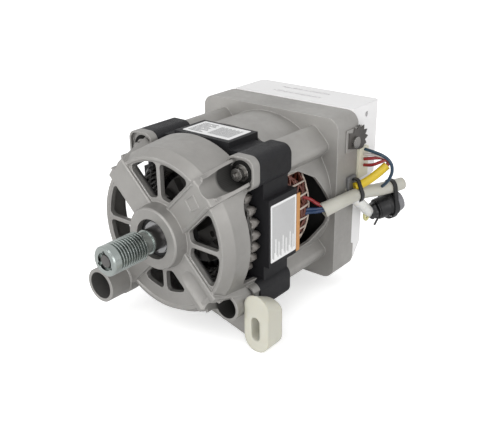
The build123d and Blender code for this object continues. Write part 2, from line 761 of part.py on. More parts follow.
quadrant = 2 * window_out_r
bushing_y = bushing_front
bushing_end = bushing_y + bushing_t
arm_plate_y = bushing_y + (bushing_t - tongue_t) / 2
bushing_slot_x = bushing_x - bushing_slot_shift
bushing_slot_z = bushing_z - bushing_slot_drop
tongue_to = bushing_slot_x - bushing_slot_w / 2 - tongue_inset
tongue_from = bushing_x - bushing_w / 2 - channel_wall
spigot_at = (-bolt_c, -bolt_c)
with BuildSketch(Plane.YZ) as arch:
    Rectangle(2 * arch_front, 2 * arch_half)
    fillet(arch.vertices().group_by(Axis.Y)[-1], arch_corner_r)
    fillet(arch.vertices().group_by(Axis.Y)[0], arch_low_corner_r)
arch_shape = arch.sketch.moved(Location((0, ear_front_y, arch_rise)))
with BuildPart() as front_end_shield:
    add(shell.part)
    # Windows between hub and rim; the lower pair is shorter
    with BuildSketch(station(window_face - overrun)) as windows:
        Circle(window_out_r)
        Circle(window_in_r, mode=Mode.SUBTRACT)
        Polygon((0, 0), (-quadrant, -quadrant), (quadrant, -quadrant), align=None, mode=Mode.SUBTRACT)
        for turn in (45, -45):
            Rectangle(2 * quadrant, window_bar_w, rotation=turn, mode=Mode.SUBTRACT)
        for turn in (0, 90):
            Rectangle(2 * quadrant, rib_w, rotation=turn, mode=Mode.SUBTRACT)
        fillet(windows.vertices(), window_corner_r)
    extrude(amount=back(window_face - overrun, hub_len), mode=Mode.SUBTRACT)
    with BuildSketch(station(window_face - overrun)) as low_windows:
        Circle(low_window_out_r)
        Circle(window_in_r, mode=Mode.SUBTRACT)
        Polygon((0, 0), (-quadrant, -quadrant), (quadrant, -quadrant), align=None, mode=Mode.INTERSECT)
        for turn in (45, -45):
            Rectangle(2 * quadrant, window_bar_w, rotation=turn, mode=Mode.SUBTRACT)
        Rectangle(rib_w, 2 * quadrant, mode=Mode.SUBTRACT)
        fillet(low_windows.vertices(), window_corner_r)
    extrude(amount=back(window_face - overrun, hub_len), mode=Mode.SUBTRACT)
    add(arms.part)
    # Side arches in the skirt, right and left
    extrude(arch_shape.moved(Location((arch_from, 0, 0))), amount=corner_rear_r, mode=Mode.SUBTRACT)
    extrude(arch_shape.moved(Location((-arch_from, 0, 0))), amount=-corner_rear_r, mode=Mode.SUBTRACT)
    # Arm to the bushing at the lower right corner
    with BuildSketch(station(arm_plate_y)):
        Polygon(
            (bushing_arm_root_x, -skirt_r + cast_wall),
            (bushing_arm_low_x, bushing_arm_low_z),
            (bolt_c + spigot_bore_r, bushing_z - bushing_arm_drop),
            (bushing_x, bushing_z - bushing_arm_drop),
            (bushing_x, bushing_z + bushing_arm_rise),
            (bolt_c + bolt_r, bushing_z + bushing_arm_rise),
            (ear_inner, -bolt_c - bolt_r),
            align=None,
        )
    extrude(amount=back(arm_plate_y, arm_plate_y + tongue_t))
    # Open channels that let the bolts in, down to the lugs, and a round well at the bushing's corner
    with BuildSketch(station(arm_face - overrun)):
        for angle in (135, 45):
            with PolarLocations(bolt_ring_r, 1, start_angle=angle):
                SlotCenterPoint((channel_w, 0), (0, 0), channel_w)
        with Locations((bolt_c, -bolt_c)):
            Circle(channel_w / 2)
    extrude(amount=back(arm_face - overrun, lug_face_y - lug_rim_h), mode=Mode.SUBTRACT)
    with BuildSketch(station(lug_face_y - lug_rim_h)):
        with GridLocations(bolt_pitch, bolt_pitch, 2, 2):
            Circle(channel_w / 2)
    extrude(amount=back(lug_face_y - lug_rim_h, lug_face_y), mode=Mode.SUBTRACT)
    # Spigot at the lower left corner and the deep bore behind it
    with BuildSketch(station(-spigot_reach)):
        with Locations(spigot_at):
            Circle(spigot_r)
    extrude(amount=back(-spigot_reach, arm_back))
    with BuildSketch(station(spigot_seat_len - spigot_reach)):
        with Locations(spigot_at):
            Circle(spigot_root_r)
    extrude(amount=back(spigot_seat_len - spigot_reach, arm_back))
    with BuildSketch(station(-spigot_reach - overrun)):
        with Locations(spigot_at):
            Circle(spigot_bore_r)
    extrude(amount=back(-spigot_reach - overrun, arm_back - gap), mode=Mode.SUBTRACT)
    with BuildSketch(station(arm_face)):
        with Locations(spigot_at):
            Circle(channel_w / 2)
    extrude(amount=back(arm_face, lug_face_y), mode=Mode.SUBTRACT)
    # Room for the bushing, and the tongue that holds it
    with BuildSketch(station(bushing_y - gap)):
        with Locations((bushing_x, bushing_z)):
            SlotOverall(bushing_h + 2 * gap, bushing_w + 2 * gap, rotation=90)
    extrude(amount=back(bushing_y - gap, ear_front_y + overrun), mode=Mode.SUBTRACT)
    with BuildSketch(station(arm_plate_y)):
        with Locations(((tongue_from + tongue_to) / 2, bushing_z)):
            Rectangle(tongue_to - tongue_from, tongue_w)
    extrude(amount=back(arm_plate_y, arm_plate_y + tongue_t))
    # Bolt holes, the hub's bore and the bearing's seat
    with BuildSketch(station(lug_face_y - overrun)):
        with GridLocations(bolt_pitch, bolt_pitch, 2, 2):
            Circle(bolt_hole_r)
    extrude(amount=back(lug_face_y - overrun, ear_front_y + overrun), mode=Mode.SUBTRACT)
    add(turned((0, -overrun), (hub_bore_r, -overrun), (hub_bore_r, hub_len + overrun),
               (0, hub_len + overrun)).part, mode=Mode.SUBTRACT)
    add(turned((0, hub_lip), (front_bearing_od_r + fit_clearance, hub_lip),
               (front_bearing_od_r + fit_clearance, hub_len + overrun),
               (0, hub_len + overrun)).part, mode=Mode.SUBTRACT)
save(front_end_shield, "front_end_shield")
print("shield", len(front_end_shield.part.solids()), front_end_shield.part.is_valid)

# Nylon bushing with its slot for the mounting bolt, clamped on the shield's tongue
with BuildPart() as nylon_bushing:
    with BuildSketch(station(bushing_y)):
        with Locations((bushing_x, bushing_z)):
            SlotOverall(bushing_h, bushing_w, rotation=90)
        with Locations((bushing_slot_x, bushing_slot_z)):
            SlotOverall(bushing_slot_h, bushing_slot_w, rotation=90, mode=Mode.SUBTRACT)
    extrude(amount=back(bushing_y, bushing_end))
    with BuildSketch(station(arm_plate_y - run_clearance)):
        with Locations((tongue_to / 2, bushing_z)):
            Rectangle(tongue_to + 2 * run_clearance, tongue_w + 2 * run_clearance)
    extrude(amount=back(arm_plate_y - run_clearance, arm_plate_y + tongue_t + run_clearance), mode=Mode.SUBTRACT)
save(nylon_bushing, "nylon_bushing")

# Through bolts with socket heads, and their washers
bolt_head_y = lug_face_y - bolt_washer_t
with BuildPart() as through_bolts:
    with BuildSketch(station(bolt_head_y - bolt_head_h)):
        with GridLocations(bolt_pitch, bolt_pitch, 2, 2):
            Circle(bolt_head_r)
            RegularPolygon(bolt_socket_r, 6, mode=Mode.SUBTRACT)
    extrude(amount=back(bolt_head_y - bolt_head_h, bolt_head_y - bolt_head_h / 2))
    with BuildSketch(station(bolt_head_y - bolt_head_h / 2)):
        with GridLocations(bolt_pitch, bolt_pitch, 2, 2):
            Circle(bolt_head_r)
    extrude(amount=back(bolt_head_y - bolt_head_h / 2, bolt_head_y))
    with BuildSketch(station(bolt_head_y)):
        with GridLocations(bolt_pitch, bolt_pitch, 2, 2):
            Circle(bolt_r)
    extrude(amount=back(bolt_head_y, bolt_head_y + bolt_len))
save(through_bolts, "through_bolts")
with BuildPart() as bolt_washers:
    with BuildSketch(station(bolt_head_y)):
        with GridLocations(bolt_pitch, bolt_pitch, 2, 2):
            Circle(bolt_washer_r)
            Circle(bolt_hole_r, mode=Mode.SUBTRACT)
    extrude(amount=back(bolt_head_y, lug_face_y))
save(bolt_washers, "bolt_washers")

# Snap ring that holds the front bearing on the shaft
snap_ring_y = front_bearing_y - run_clearance - snap_ring_t
with BuildPart() as shaft_snap_ring:
    add(ring(front_seat_r + fit_clearance, snap_ring_r, snap_ring_y, snap_ring_y + snap_ring_t).part)
    with BuildSketch(station(snap_ring_y)):
        with Locations((0, -snap_ring_r)):
            Rectangle(snap_ring_gap, snap_ring_r)
    extrude(amount=back(snap_ring_y, snap_ring_y + snap_ring_t), mode=Mode.SUBTRACT)
save(shaft_snap_ring, "shaft_snap_ring")

# Rear end shield, one die casting: drum, corner bosses, floor with bearing hub, square tray
tray_floor_y = tray_front_y + floor_t
rear_seat_bore_r = rear_bearing_od_r + fit_clearance
rear_shoulder_y = rear_bearing_end + spring_free_h
rear_hole_r = magnet_r + 1.0
bolt_tip_y = bolt_head_y + bolt_len
boss_start_y = ear_rear_y
drum_inner_r = drum_r - cast_wall
mouth_outline = [(tray_front_y - mouth_rim - along * mouth_len, up * mouth_half)
                 for along, up in mouth_shares]
with BuildPart() as bosses:
    with BuildSketch(station(boss_start_y)) as boss_shape:
        Circle(boss_reach)
        Rectangle(2 * boss_reach, 2 * boss_w, rotation=45, mode=Mode.INTERSECT)
        fillet(boss_shape.vertices(), boss_round)
    extrude(amount=back(boss_start_y, tray_floor_y))
    with BuildSketch(station(boss_start_y)) as other_shape:
        Circle(boss_reach)
        Rectangle(2 * boss_reach, 2 * boss_w, rotation=-45, mode=Mode.INTERSECT)
        fillet(other_shape.vertices(), boss_round)
    extrude(amount=back(boss_start_y, tray_floor_y))
    with BuildSketch(station(boss_start_y)):
        Circle(drum_inner_r)
    extrude(amount=back(boss_start_y, tray_front_y), mode=Mode.SUBTRACT)
with BuildPart() as rear_end_shield:
    add(ring(drum_inner_r, drum_r, stack_rear_y, tray_front_y).part)
    add(bosses.part)
    with BuildSketch(station(tray_front_y)):
        RectangleRounded(2 * tray_half, 2 * tray_half, tray_corner_r)
    extrude(amount=back(tray_front_y, tray_rear_y))
    with BuildSketch(station(tray_floor_y)):
        RectangleRounded(2 * tray_inner, 2 * tray_inner, tray_corner_r - cast_wall)
    extrude(amount=back(tray_floor_y, tray_rear_y), mode=Mode.SUBTRACT)
    add(ring(magnet_seat_r, rear_hub_r, tray_floor_y - rear_hub_len, tray_floor_y).part)
    with BuildSketch(station(tray_floor_y)):
        with GridLocations(2 * post_c, 2 * post_c, 2, 2):
            Circle(post_r)
    extrude(amount=back(tray_floor_y, board_y))
    # Screw posts of the cover along the tray's left wall
    with BuildSketch(station(tray_floor_y)):
        with GridLocations(0, 2 * cover_screw_z, 1, 2):
            with Locations((-cover_screw_x, 0)):
                Circle(cover_post_r)
    extrude(amount=back(tray_floor_y, cover_seat_y))
    # Bearing seat with its shoulder, the shaft's hole and the tapped holes of the bolts
    add(turned((0, tray_floor_y - rear_hub_len - overrun), (rear_seat_bore_r, tray_floor_y - rear_hub_len - overrun),
               (rear_seat_bore_r, rear_shoulder_y), (0, rear_shoulder_y)).part, mode=Mode.SUBTRACT)
    add(turned((0, rear_shoulder_y), (rear_hole_r, rear_shoulder_y), (rear_hole_r, tray_rear_y),
               (0, tray_rear_y)).part, mode=Mode.SUBTRACT)
    with BuildSketch(station(boss_start_y)):
        with GridLocations(bolt_pitch, bolt_pitch, 2, 2):
            Circle(bolt_r + run_clearance)
    extrude(amount=back(boss_start_y, bolt_tip_y + bolt_r), mode=Mode.SUBTRACT)
    # Pilot holes of the board's and the cover's screws, the ground screw's hole, and the cable notch
    with BuildSketch(station(board_y - small_screw_len)):
        with GridLocations(2 * post_c, 2 * post_c, 2, 2):
            Circle(small_screw_r + run_clearance)
        with GridLocations(0, 2 * cover_screw_z, 1, 2):
            with Locations((-cover_screw_x, 0)):
                Circle(small_screw_r + run_clearance)
    extrude(amount=back(board_y - small_screw_len, tray_rear_y), mode=Mode.SUBTRACT)
    with BuildSketch(Plane.YZ.offset(tray_inner - overrun)):
        with Locations((ground_screw_y, ground_screw_z)):
            Circle(ground_screw_r + run_clearance)
        with Locations((tray_rear_y, (notch_top + notch_bottom) / 2)):
            Rectangle(2 * notch_depth, notch_top - notch_bottom)
    extrude(amount=2 * overrun + cast_wall, mode=Mode.SUBTRACT)
    # Side mouths in the drum, right and left
    with BuildSketch(Plane.YZ) as mouth:
        with BuildLine() as mouth_edge:
            Polyline(*mouth_outline, close=True)
        make_face()
        fillet(mouth.vertices(), mouth_round)
    extrude(amount=drum_r + overrun, both=True, mode=Mode.SUBTRACT)
save(rear_end_shield, "rear_end_shield")
print("rear", rear_end_shield.part.is_valid, len(rear_end_shield.part.solids()))

# Circuit board on its four posts, with its screws
board_top_y = board_y + board_t
with BuildPart() as circuit_board:
    with BuildSketch(station(board_y)):
        RectangleRounded(2 * board_half, 2 * board_half, tray_corner_r - cast_wall)
        with GridLocations(2 * post_c, 2 * post_c, 2, 2):
            Circle(small_screw_r + run_clearance, mode=Mode.SUBTRACT)
    extrude(amount=back(board_y, board_top_y))
save(circuit_board, "circuit_board")
with BuildPart() as board_screws:
    with BuildSketch(station(board_top_y)):
        with GridLocations(2 * post_c, 2 * post_c, 2, 2):
            Circle(small_screw_head_r)
    extrude(amount=back(board_top_y, board_top_y + small_screw_head_h))
    with BuildSketch(station(board_top_y)):
        with GridLocations(2 * post_c, 2 * post_c, 2, 2):
            Circle(small_screw_r)
    extrude(amount=back(board_top_y, board_top_y - small_screw_len))
save(board_screws, "board_screws")

# What stands on the board
with BuildPart() as capacitors:
    with BuildSketch(station(board_top_y)):
        with Locations((capacitor_row_x, capacitor_z)):
            with GridLocations(capacitor_pitch, 0, capacitor_count, 1):
                Circle(capacitor_r)
    extrude(amount=back(board_top_y, board_top_y + capacitor_len))
    chamfer(capacitors.faces().sort_by(Axis.Y)[-capacitor_count:].edges(), capacitor_rim)
save(capacitors, "capacitors")
with BuildPart() as filter_choke:
    with BuildSketch(station(board_top_y)):
        with Locations((choke_x, choke_z)):
            Circle(choke_r)
            Circle(choke_hole_r, mode=Mode.SUBTRACT)
    extrude(amount=back(board_top_y, board_top_y + choke_h))
    chamfer(filter_choke.faces().sort_by(Axis.Y)[-1].edges(), capacitor_rim)
save(filter_choke, "filter_choke")
with BuildPart() as power_module:
    with BuildSketch(station(board_top_y)):
        with Locations((module_x, module_z)):
            Rectangle(module_w, module_h)
    extrude(amount=back(board_top_y, board_top_y + module_t))
    chamfer(power_module.faces().sort_by(Axis.Y)[-1].edges(), capacitor_rim)
save(power_module, "power_module")
with BuildPart() as speed_sensor:
    with BuildSketch(station(shaft_rear_y + gap)):
        Rectangle(sensor_w, sensor_w)
    extrude(amount=back(shaft_rear_y + gap, board_y))
    chamfer(speed_sensor.faces().sort_by(Axis.Y)[0].edges(), capacitor_rim)
save(speed_sensor, "speed_sensor")
socket_y = tray_rear_y + cover_wall / 2
with BuildPart() as header_socket:
    with BuildSketch(Plane.YZ.offset(socket_from)):
        with Locations(((board_top_y + socket_y + socket_len) / 2, (socket_top + socket_bottom) / 2)):
            Rectangle(socket_y + socket_len - board_top_y, socket_top - socket_bottom)
    extrude(amount=board_half - socket_from)
    with BuildSketch(Plane.YZ.offset(board_half)):
        with Locations((socket_y + socket_len / 2, (socket_top + socket_bottom) / 2)):
            Rectangle(socket_len, socket_top - socket_bottom)
    extrude(amount=cover_right - board_half)
save(header_socket, "header_socket")

# Cover over the tray
def cover_outline(inset):
    """The cover's section in Y and Z, drawn in by the wall."""
    back_y = cover_rear_y - inset
    low_back_y = tray_rear_y + cover_low_depth - inset
    step_z = cover_step_z + inset
    return [
        (tray_rear_y, cover_top - inset),
        (back_y, cover_top - inset),
        (back_y, step_z),
        (low_back_y, step_z - cover_step_drop),
        (low_back_y, cover_bottom + cover_chamfer_h + inset / 2),
        (low_back_y - cover_chamfer_l, cover_bottom + inset),
        (tray_rear_y, cover_bottom + inset),
    ]


cover_mid_x = (cover_left + cover_right) / 2
opening_w = cover_right - cover_left - 2 * cover_wall
opening_top = tray_inner - cover_wall
opening_bottom = cover_bottom + cover_wall
with BuildPart() as inverter_cover:
    with BuildSketch(Plane.YZ.offset(cover_left)):
        with BuildLine():
            Polyline(*cover_outline(0), close=True)
        make_face()
    extrude(amount=cover_right - cover_left)
    upright = inverter_cover.edges().filter_by(Axis.Z)
    fillet(upright.filter_by(lambda edge: edge.center().Y > tray_rear_y + overrun), cover_corner_r)
    with BuildSketch(Plane.YZ.offset(cover_left + cover_wall)):
        with BuildLine():
            Polyline(*cover_outline(cover_wall), close=True)
        make_face()
    extrude(amount=opening_w, mode=Mode.SUBTRACT)
    with BuildSketch(station(cover_seat_y)):
        RectangleRounded(2 * (tray_inner - gap), 2 * (tray_inner - gap), tray_corner_r - cast_wall)
        with Locations((cover_mid_x, (opening_top + opening_bottom) / 2)):
            Rectangle(opening_w, opening_top - opening_bottom, mode=Mode.SUBTRACT)
        with GridLocations(0, 2 * cover_screw_z, 1, 2):
            with Locations((-cover_screw_x, 0)):
                Circle(small_screw_r + run_clearance, mode=Mode.SUBTRACT)
    extrude(amount=back(cover_seat_y, tray_rear_y))
    # Two long slots in the top, a hole in the right side, and the connector's opening
    with BuildSketch(Plane.XY.offset(cover_top - cover_wall - overrun)):
        for slot_back in cover_slot_ys:
            with Locations((cover_slot_x, tray_rear_y + slot_back)):
                Rectangle(cover_slot_len, cover_slot_w)
    extrude(amount=cover_wall + 2 * overrun, mode=Mode.SUBTRACT)
    with BuildSketch(Plane.YZ.offset(cover_right - cover_wall - overrun)):
        with Locations((tray_rear_y + cover_hole_back, cover_hole_z)):
            Circle(cover_hole_r)
        with Locations((socket_y + socket_len / 2, (socket_top + socket_bottom) / 2)):
            Rectangle(socket_len + 2 * run_clearance, socket_top - socket_bottom + 2 * run_clearance)
    extrude(amount=cover_wall + 2 * overrun, mode=Mode.SUBTRACT)
save(inverter_cover, "inverter_cover")
print("cover", inverter_cover.part.is_valid, len(inverter_cover.part.solids()))
with BuildPart() as cover_screws:
    with BuildSketch(station(tray_rear_y)):
        with GridLocations(0, 2 * cover_screw_z, 1, 2):
            with Locations((-cover_screw_x, 0)):
                Circle(small_screw_head_r)
    extrude(amount=back(tray_rear_y, tray_rear_y + small_screw_head_h))
    with BuildSketch(station(tray_rear_y)):
        with GridLocations(0, 2 * cover_screw_z, 1, 2):
            with Locations((-cover_screw_x, 0)):
                Circle(small_screw_r)
    extrude(amount=back(tray_rear_y, tray_rear_y - small_screw_len))
save(cover_screws, "cover_screws")

# Connector plugged in through the cover's side
with BuildPart() as connector_housing:
    with BuildSketch(Plane.YZ.offset(cover_right)):
        with Locations((socket_y + socket_len / 2, (connector_top + connector_bottom) / 2)):
            RectangleRounded(connector_len, connector_top - connector_bottom, 1)
    extrude(amount=connector_w)
save(connector_housing, "connector_housing")

# Ground plate and its screw on the tray's right wall
with BuildPart() as ground_plate:
    with BuildSketch(Plane.YZ.offset(tray_half)):
        with Locations(((clip_plate_front + clip_plate_rear) / 2, (clip_plate_top + clip_plate_bottom) / 2)):
            Rectangle(clip_plate_rear - clip_plate_front, clip_plate_top - clip_plate_bottom)
        with Locations((ground_screw_y, ground_screw_z)):
            Circle(ground_screw_r + run_clearance, mode=Mode.SUBTRACT)
    extrude(amount=clip_plate_t)
save(ground_plate, "ground_plate")
with BuildPart() as ground_screw:
    with BuildSketch(Plane.YZ.offset(tray_half + clip_plate_t)):
        with Locations((ground_screw_y, ground_screw_z)):
            Circle(ground_screw_head_r)
    extrude(amount=ground_screw_head_h)
    with BuildSketch(Plane.YZ.offset(tray_half + clip_plate_t)):
        with Locations((ground_screw_y, ground_screw_z)):
            Circle(ground_screw_r)
    extrude(amount=-clip_plate_t - cast_wall - ground_screw_r)
save(ground_screw, "ground_screw")

# Insulation flap on the stack's rear face, and the thermal protector on the rear winding
with BuildPart() as insulation_flap:
    with BuildSketch(Plane.XY.offset(flap_bottom)):
        with BuildLine():
            Polyline((flat_half, stack_rear_y), (flat_half, stack_rear_y + flap_len),
                     (flat_half - flap_t, stack_rear_y + flap_len), (flat_half - flap_t, stack_rear_y + flap_t),
                     (flat_half - flap_lap, stack_rear_y + flap_t), (flat_half - flap_lap, stack_rear_y), close=True)
        make_face()
    extrude(amount=flap_top - flap_bottom)
save(insulation_flap, "insulation_flap")
with BuildPart() as thermal_protector:
    with BuildSketch(station(rear_ring_y - protector_len / 2)):
        with PolarLocations(rear_ring_r + rear_ring_half_w + protector_h / 2, 1, start_angle=protector_angle):
            Rectangle(protector_h, protector_w)
    extrude(amount=back(rear_ring_y - protector_len / 2, rear_ring_y + protector_len / 2))
save(thermal_protector, "thermal_protector")


# Sleeves and wires of the harness
def cord(name, radius, *routes):
    """Round cords along routes of straight runs joined by tangent arcs."""
    with BuildPart() as cords:
        for route in routes:
            points = [Vector(*point) for point in route]
            radii = []
            for before, at, after in zip(points, points[1:], points[2:]):
                half_turn = (at - before).get_angle(after - at) / 2
                shorter = min((at - before).length, (after - at).length)
                radii.append(bend_share * shorter / math.tan(math.radians(half_turn)))
            with BuildLine() as line:
                FilletPolyline(*points, radius=radii)
            with BuildSketch(Plane(origin=points[0], z_dir=points[1] - points[0])):
                Circle(radius)
            sweep(path=line.line)
            print(name, "radius of its tube", radius, "least bend", round(min(radii), 1))
    save(cords, name)


def beside(stands):
    """Route from stands off the tray's side wall."""
    return [(tray_half + stand, y, z) for stand, y, z in stands]


main_route = beside(main_stands)
yellow_route = beside(yellow_stands)
cord("main_sleeve", sleeve_r, main_route)
cord("yellow_sleeve", small_sleeve_r, yellow_route)
cord("navy_wire", wire_r, beside(navy_stands))
cord("red_wires", wire_r, beside(red_stands), beside(low_red_stands))

# Round plug with its cap, beside the main sleeve's end
plug_way = (Vector(*plug_to) - Vector(*plug_from)).normalized()
with BuildPart() as round_plug:
    with BuildSketch(Plane(origin=Vector(*plug_from), z_dir=plug_way)):
        Circle(plug_r)
    extrude(amount=(Vector(*plug_to) - Vector(*plug_from)).length)
    chamfer(round_plug.edges(), tie_t)
    with BuildSketch(Plane(origin=Vector(*plug_from), z_dir=plug_way)):
        Circle(plug_neck_r)
    extrude(amount=-plug_neck_len)
save(round_plug, "round_plug")
with BuildPart() as plug_cap:
    with BuildSketch(Plane(origin=Vector(*plug_to), z_dir=plug_way)):
        Circle(cap_r)
    extrude(amount=cap_len)
    fillet(plug_cap.edges().sort_by(Axis.Y)[-1], cap_round)
save(plug_cap, "plug_cap")

# Cable ties: one holds both sleeves to the tray's clip, one holds the plug to the main sleeve
def crossing(start, end, origin, normal):
    """Where the line through two points crosses a plane."""
    along = end - start
    return start + along * ((origin - start).dot(normal) / along.dot(normal))


ties = [
    (tie_one_y, main_route[3], main_route[4], yellow_route[0], yellow_route[1], small_sleeve_r),
    (tie_two_y, main_route[5], main_route[6], plug_from, plug_to, plug_r),
]
with BuildPart() as cable_ties:
    for tie_y, start, end, other_start, other_end, other_r in ties:
        start, end, other_start, other_end = Vector(*start), Vector(*end), Vector(*other_start), Vector(*other_end)
        way = (end - start).normalized()
        middle = crossing(start, end, Vector(0, tie_y, 0), Vector(0, 1, 0))
        tilt = math.radians(way.get_angle(other_end - other_start))
        lean = tie_w / 2 * math.tan(tilt)
        plane = Plane(origin=middle, z_dir=way)
        other = plane.to_local_coords(crossing(other_start, other_end, middle, way))
        for grow in (tie_t, 0):
            with BuildSketch(plane) as loop:
                Circle(sleeve_r + tie_slack + grow)
                with Locations((other.X, other.Y)):
                    Circle(other_r / math.cos(tilt) + tie_slack + lean + grow)
                make_hull()
            extrude(amount=tie_w / 2, both=True, mode=Mode.ADD if grow else Mode.SUBTRACT)
save(cable_ties, "cable_ties")
with BuildPart() as tie_clip:
    with BuildSketch(Plane.YZ.offset(tray_half)):
        with Locations((tie_one_y, clip_base_z)):
            RectangleRounded(clip_base_len, clip_base_w, 1)
    extrude(amount=clip_base_t)
save(tie_clip, "tie_clip")
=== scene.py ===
"""The washing machine motor, dressed for its picture: materials, labels, windings, harness and light."""
import json
import math

import bmesh
import bpy
from mathutils import Matrix, Vector


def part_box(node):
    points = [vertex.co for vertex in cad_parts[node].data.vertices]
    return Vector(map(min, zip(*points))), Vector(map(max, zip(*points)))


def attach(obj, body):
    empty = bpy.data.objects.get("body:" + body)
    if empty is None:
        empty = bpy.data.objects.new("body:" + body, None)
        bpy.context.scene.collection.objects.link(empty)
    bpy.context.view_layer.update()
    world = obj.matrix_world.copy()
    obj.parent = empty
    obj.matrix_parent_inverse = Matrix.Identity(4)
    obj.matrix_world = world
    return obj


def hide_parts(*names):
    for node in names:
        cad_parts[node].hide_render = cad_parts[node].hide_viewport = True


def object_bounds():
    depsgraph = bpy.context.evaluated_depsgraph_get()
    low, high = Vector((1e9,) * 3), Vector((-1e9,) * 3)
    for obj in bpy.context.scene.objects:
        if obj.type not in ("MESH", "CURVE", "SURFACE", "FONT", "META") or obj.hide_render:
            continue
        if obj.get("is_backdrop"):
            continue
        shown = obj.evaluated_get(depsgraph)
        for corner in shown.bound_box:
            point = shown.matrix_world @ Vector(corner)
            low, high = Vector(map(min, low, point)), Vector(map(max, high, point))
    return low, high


MM = 0.001
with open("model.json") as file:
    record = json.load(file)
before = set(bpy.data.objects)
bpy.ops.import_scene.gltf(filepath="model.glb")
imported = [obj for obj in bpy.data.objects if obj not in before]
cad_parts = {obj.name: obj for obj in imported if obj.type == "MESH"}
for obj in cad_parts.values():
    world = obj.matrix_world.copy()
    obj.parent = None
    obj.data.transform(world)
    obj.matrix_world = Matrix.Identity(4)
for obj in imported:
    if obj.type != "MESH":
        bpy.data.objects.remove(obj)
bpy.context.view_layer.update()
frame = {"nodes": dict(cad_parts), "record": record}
HOUSING = "housing"
# Painted shade: the colour laid by position in the deep hollows of the castings, where shadow falls
PAINTED_WELL_SHADE = (0.012, 0.0115, 0.011)


# Materials
def noise(nodes, links, coords, scale, detail=3.0, roughness=0.55):
    """A noise texture's output on object coordinates, its scale in features per metre."""
    texture = nodes.new("ShaderNodeTexNoise")
    texture.inputs["Scale"].default_value = scale
    texture.inputs["Detail"].default_value = detail
    texture.inputs["Roughness"].default_value = roughness
    links.new(coords, texture.inputs["Vector"])
    return texture.outputs["Fac"]


def spread(nodes, links, value, low, high, to_low, to_high):
    """A value mapped from one range to another."""
    mapping = nodes.new("ShaderNodeMapRange")
    mapping.inputs["From Min"].default_value = low
    mapping.inputs["From Max"].default_value = high
    mapping.inputs["To Min"].default_value = to_low
    mapping.inputs["To Max"].default_value = to_high
    links.new(value, mapping.inputs["Value"])
    return mapping.outputs["Result"]


def paint_over(nodes, links, factor, below, colour):
    """A colour laid over another by a factor."""
    mix = nodes.new("ShaderNodeMix")
    mix.data_type = "RGBA"
    mix.inputs["B"].default_value = (*colour, 1.0)
    links.new(factor, mix.inputs["Factor"])
    links.new(below, mix.inputs["A"])
    return mix.outputs["Result"]


def combine(nodes, links, operation, first, second):
    """Two values put together by a math operation."""
    made = nodes.new("ShaderNodeMath")
    made.operation = operation
    links.new(first, made.inputs[0])
    links.new(second, made.inputs[1])
    return made.outputs["Value"]


def grain_group():
    """A shared group: object coordinates in, a colour factor, a roughness change and a height out."""
    group = bpy.data.node_groups.new("fine_grain", "ShaderNodeTree")
    interface = group.interface
    interface.new_socket("Vector", in_out="INPUT", socket_type="NodeSocketVector")
    interface.new_socket("Shade", in_out="OUTPUT", socket_type="NodeSocketFloat")
    interface.new_socket("Sheen", in_out="OUTPUT", socket_type="NodeSocketFloat")
    interface.new_socket("Height", in_out="OUTPUT", socket_type="NodeSocketFloat")
    nodes, links = group.nodes, group.links
    source = nodes.new("NodeGroupInput").outputs["Vector"]
    result = nodes.new("NodeGroupOutput")
    broad = noise(nodes, links, source, 22.0, 4.0)
    fine = noise(nodes, links, source, 1400.0, 2.0)
    middle = noise(nodes, links, source, 160.0, 5.0, 0.65)
    links.new(spread(nodes, links, broad, 0.3, 0.7, 0.0, 1.0), result.inputs["Shade"])
    links.new(spread(nodes, links, middle, 0.25, 0.75, -0.5, 0.5), result.inputs["Sheen"])
    blend = nodes.new("ShaderNodeMix")
    blend.inputs["Factor"].default_value = 0.35
    links.new(fine, blend.inputs["A"])
    links.new(middle, blend.inputs["B"])
    links.new(blend.outputs["Result"], result.inputs["Height"])
    return group


FINE_GRAIN = grain_group()


def painted_shade_mask(nodes, links, coords, x, z, reach, start, end):
    """One within a radius of an axis along Y and between two stations, all in millimetres, else nought: the mask
    of painted shade in a casting's hollow.
    """
    moved = nodes.new("ShaderNodeVectorMath")
    moved.operation = "SUBTRACT"
    moved.inputs[1].default_value = (x * MM, 0.0, z * MM)
    links.new(coords, moved.inputs[0])
    flat = nodes.new("ShaderNodeVectorMath")
    flat.operation = "MULTIPLY"
    flat.inputs[1].default_value = (1.0, 0.0, 1.0)
    links.new(moved.outputs["Vector"], flat.inputs[0])
    out = nodes.new("ShaderNodeVectorMath")
    out.operation = "LENGTH"
    links.new(flat.outputs["Vector"], out.inputs[0])
    split = nodes.new("ShaderNodeSeparateXYZ")
    links.new(coords, split.inputs["Vector"])
    near = spread(nodes, links, out.outputs["Value"], (reach - 0.3) * MM, reach * MM, 1.0, 0.0)
    after = spread(nodes, links, split.outputs["Y"], start * MM, (start + 2.5) * MM, 0.0, 1.0)
    before = spread(nodes, links, split.outputs["Y"], (end - 1.0) * MM, end * MM, 1.0, 0.0)
    return combine(nodes, links, "MULTIPLY", combine(nodes, links, "MULTIPLY", near, after), before)


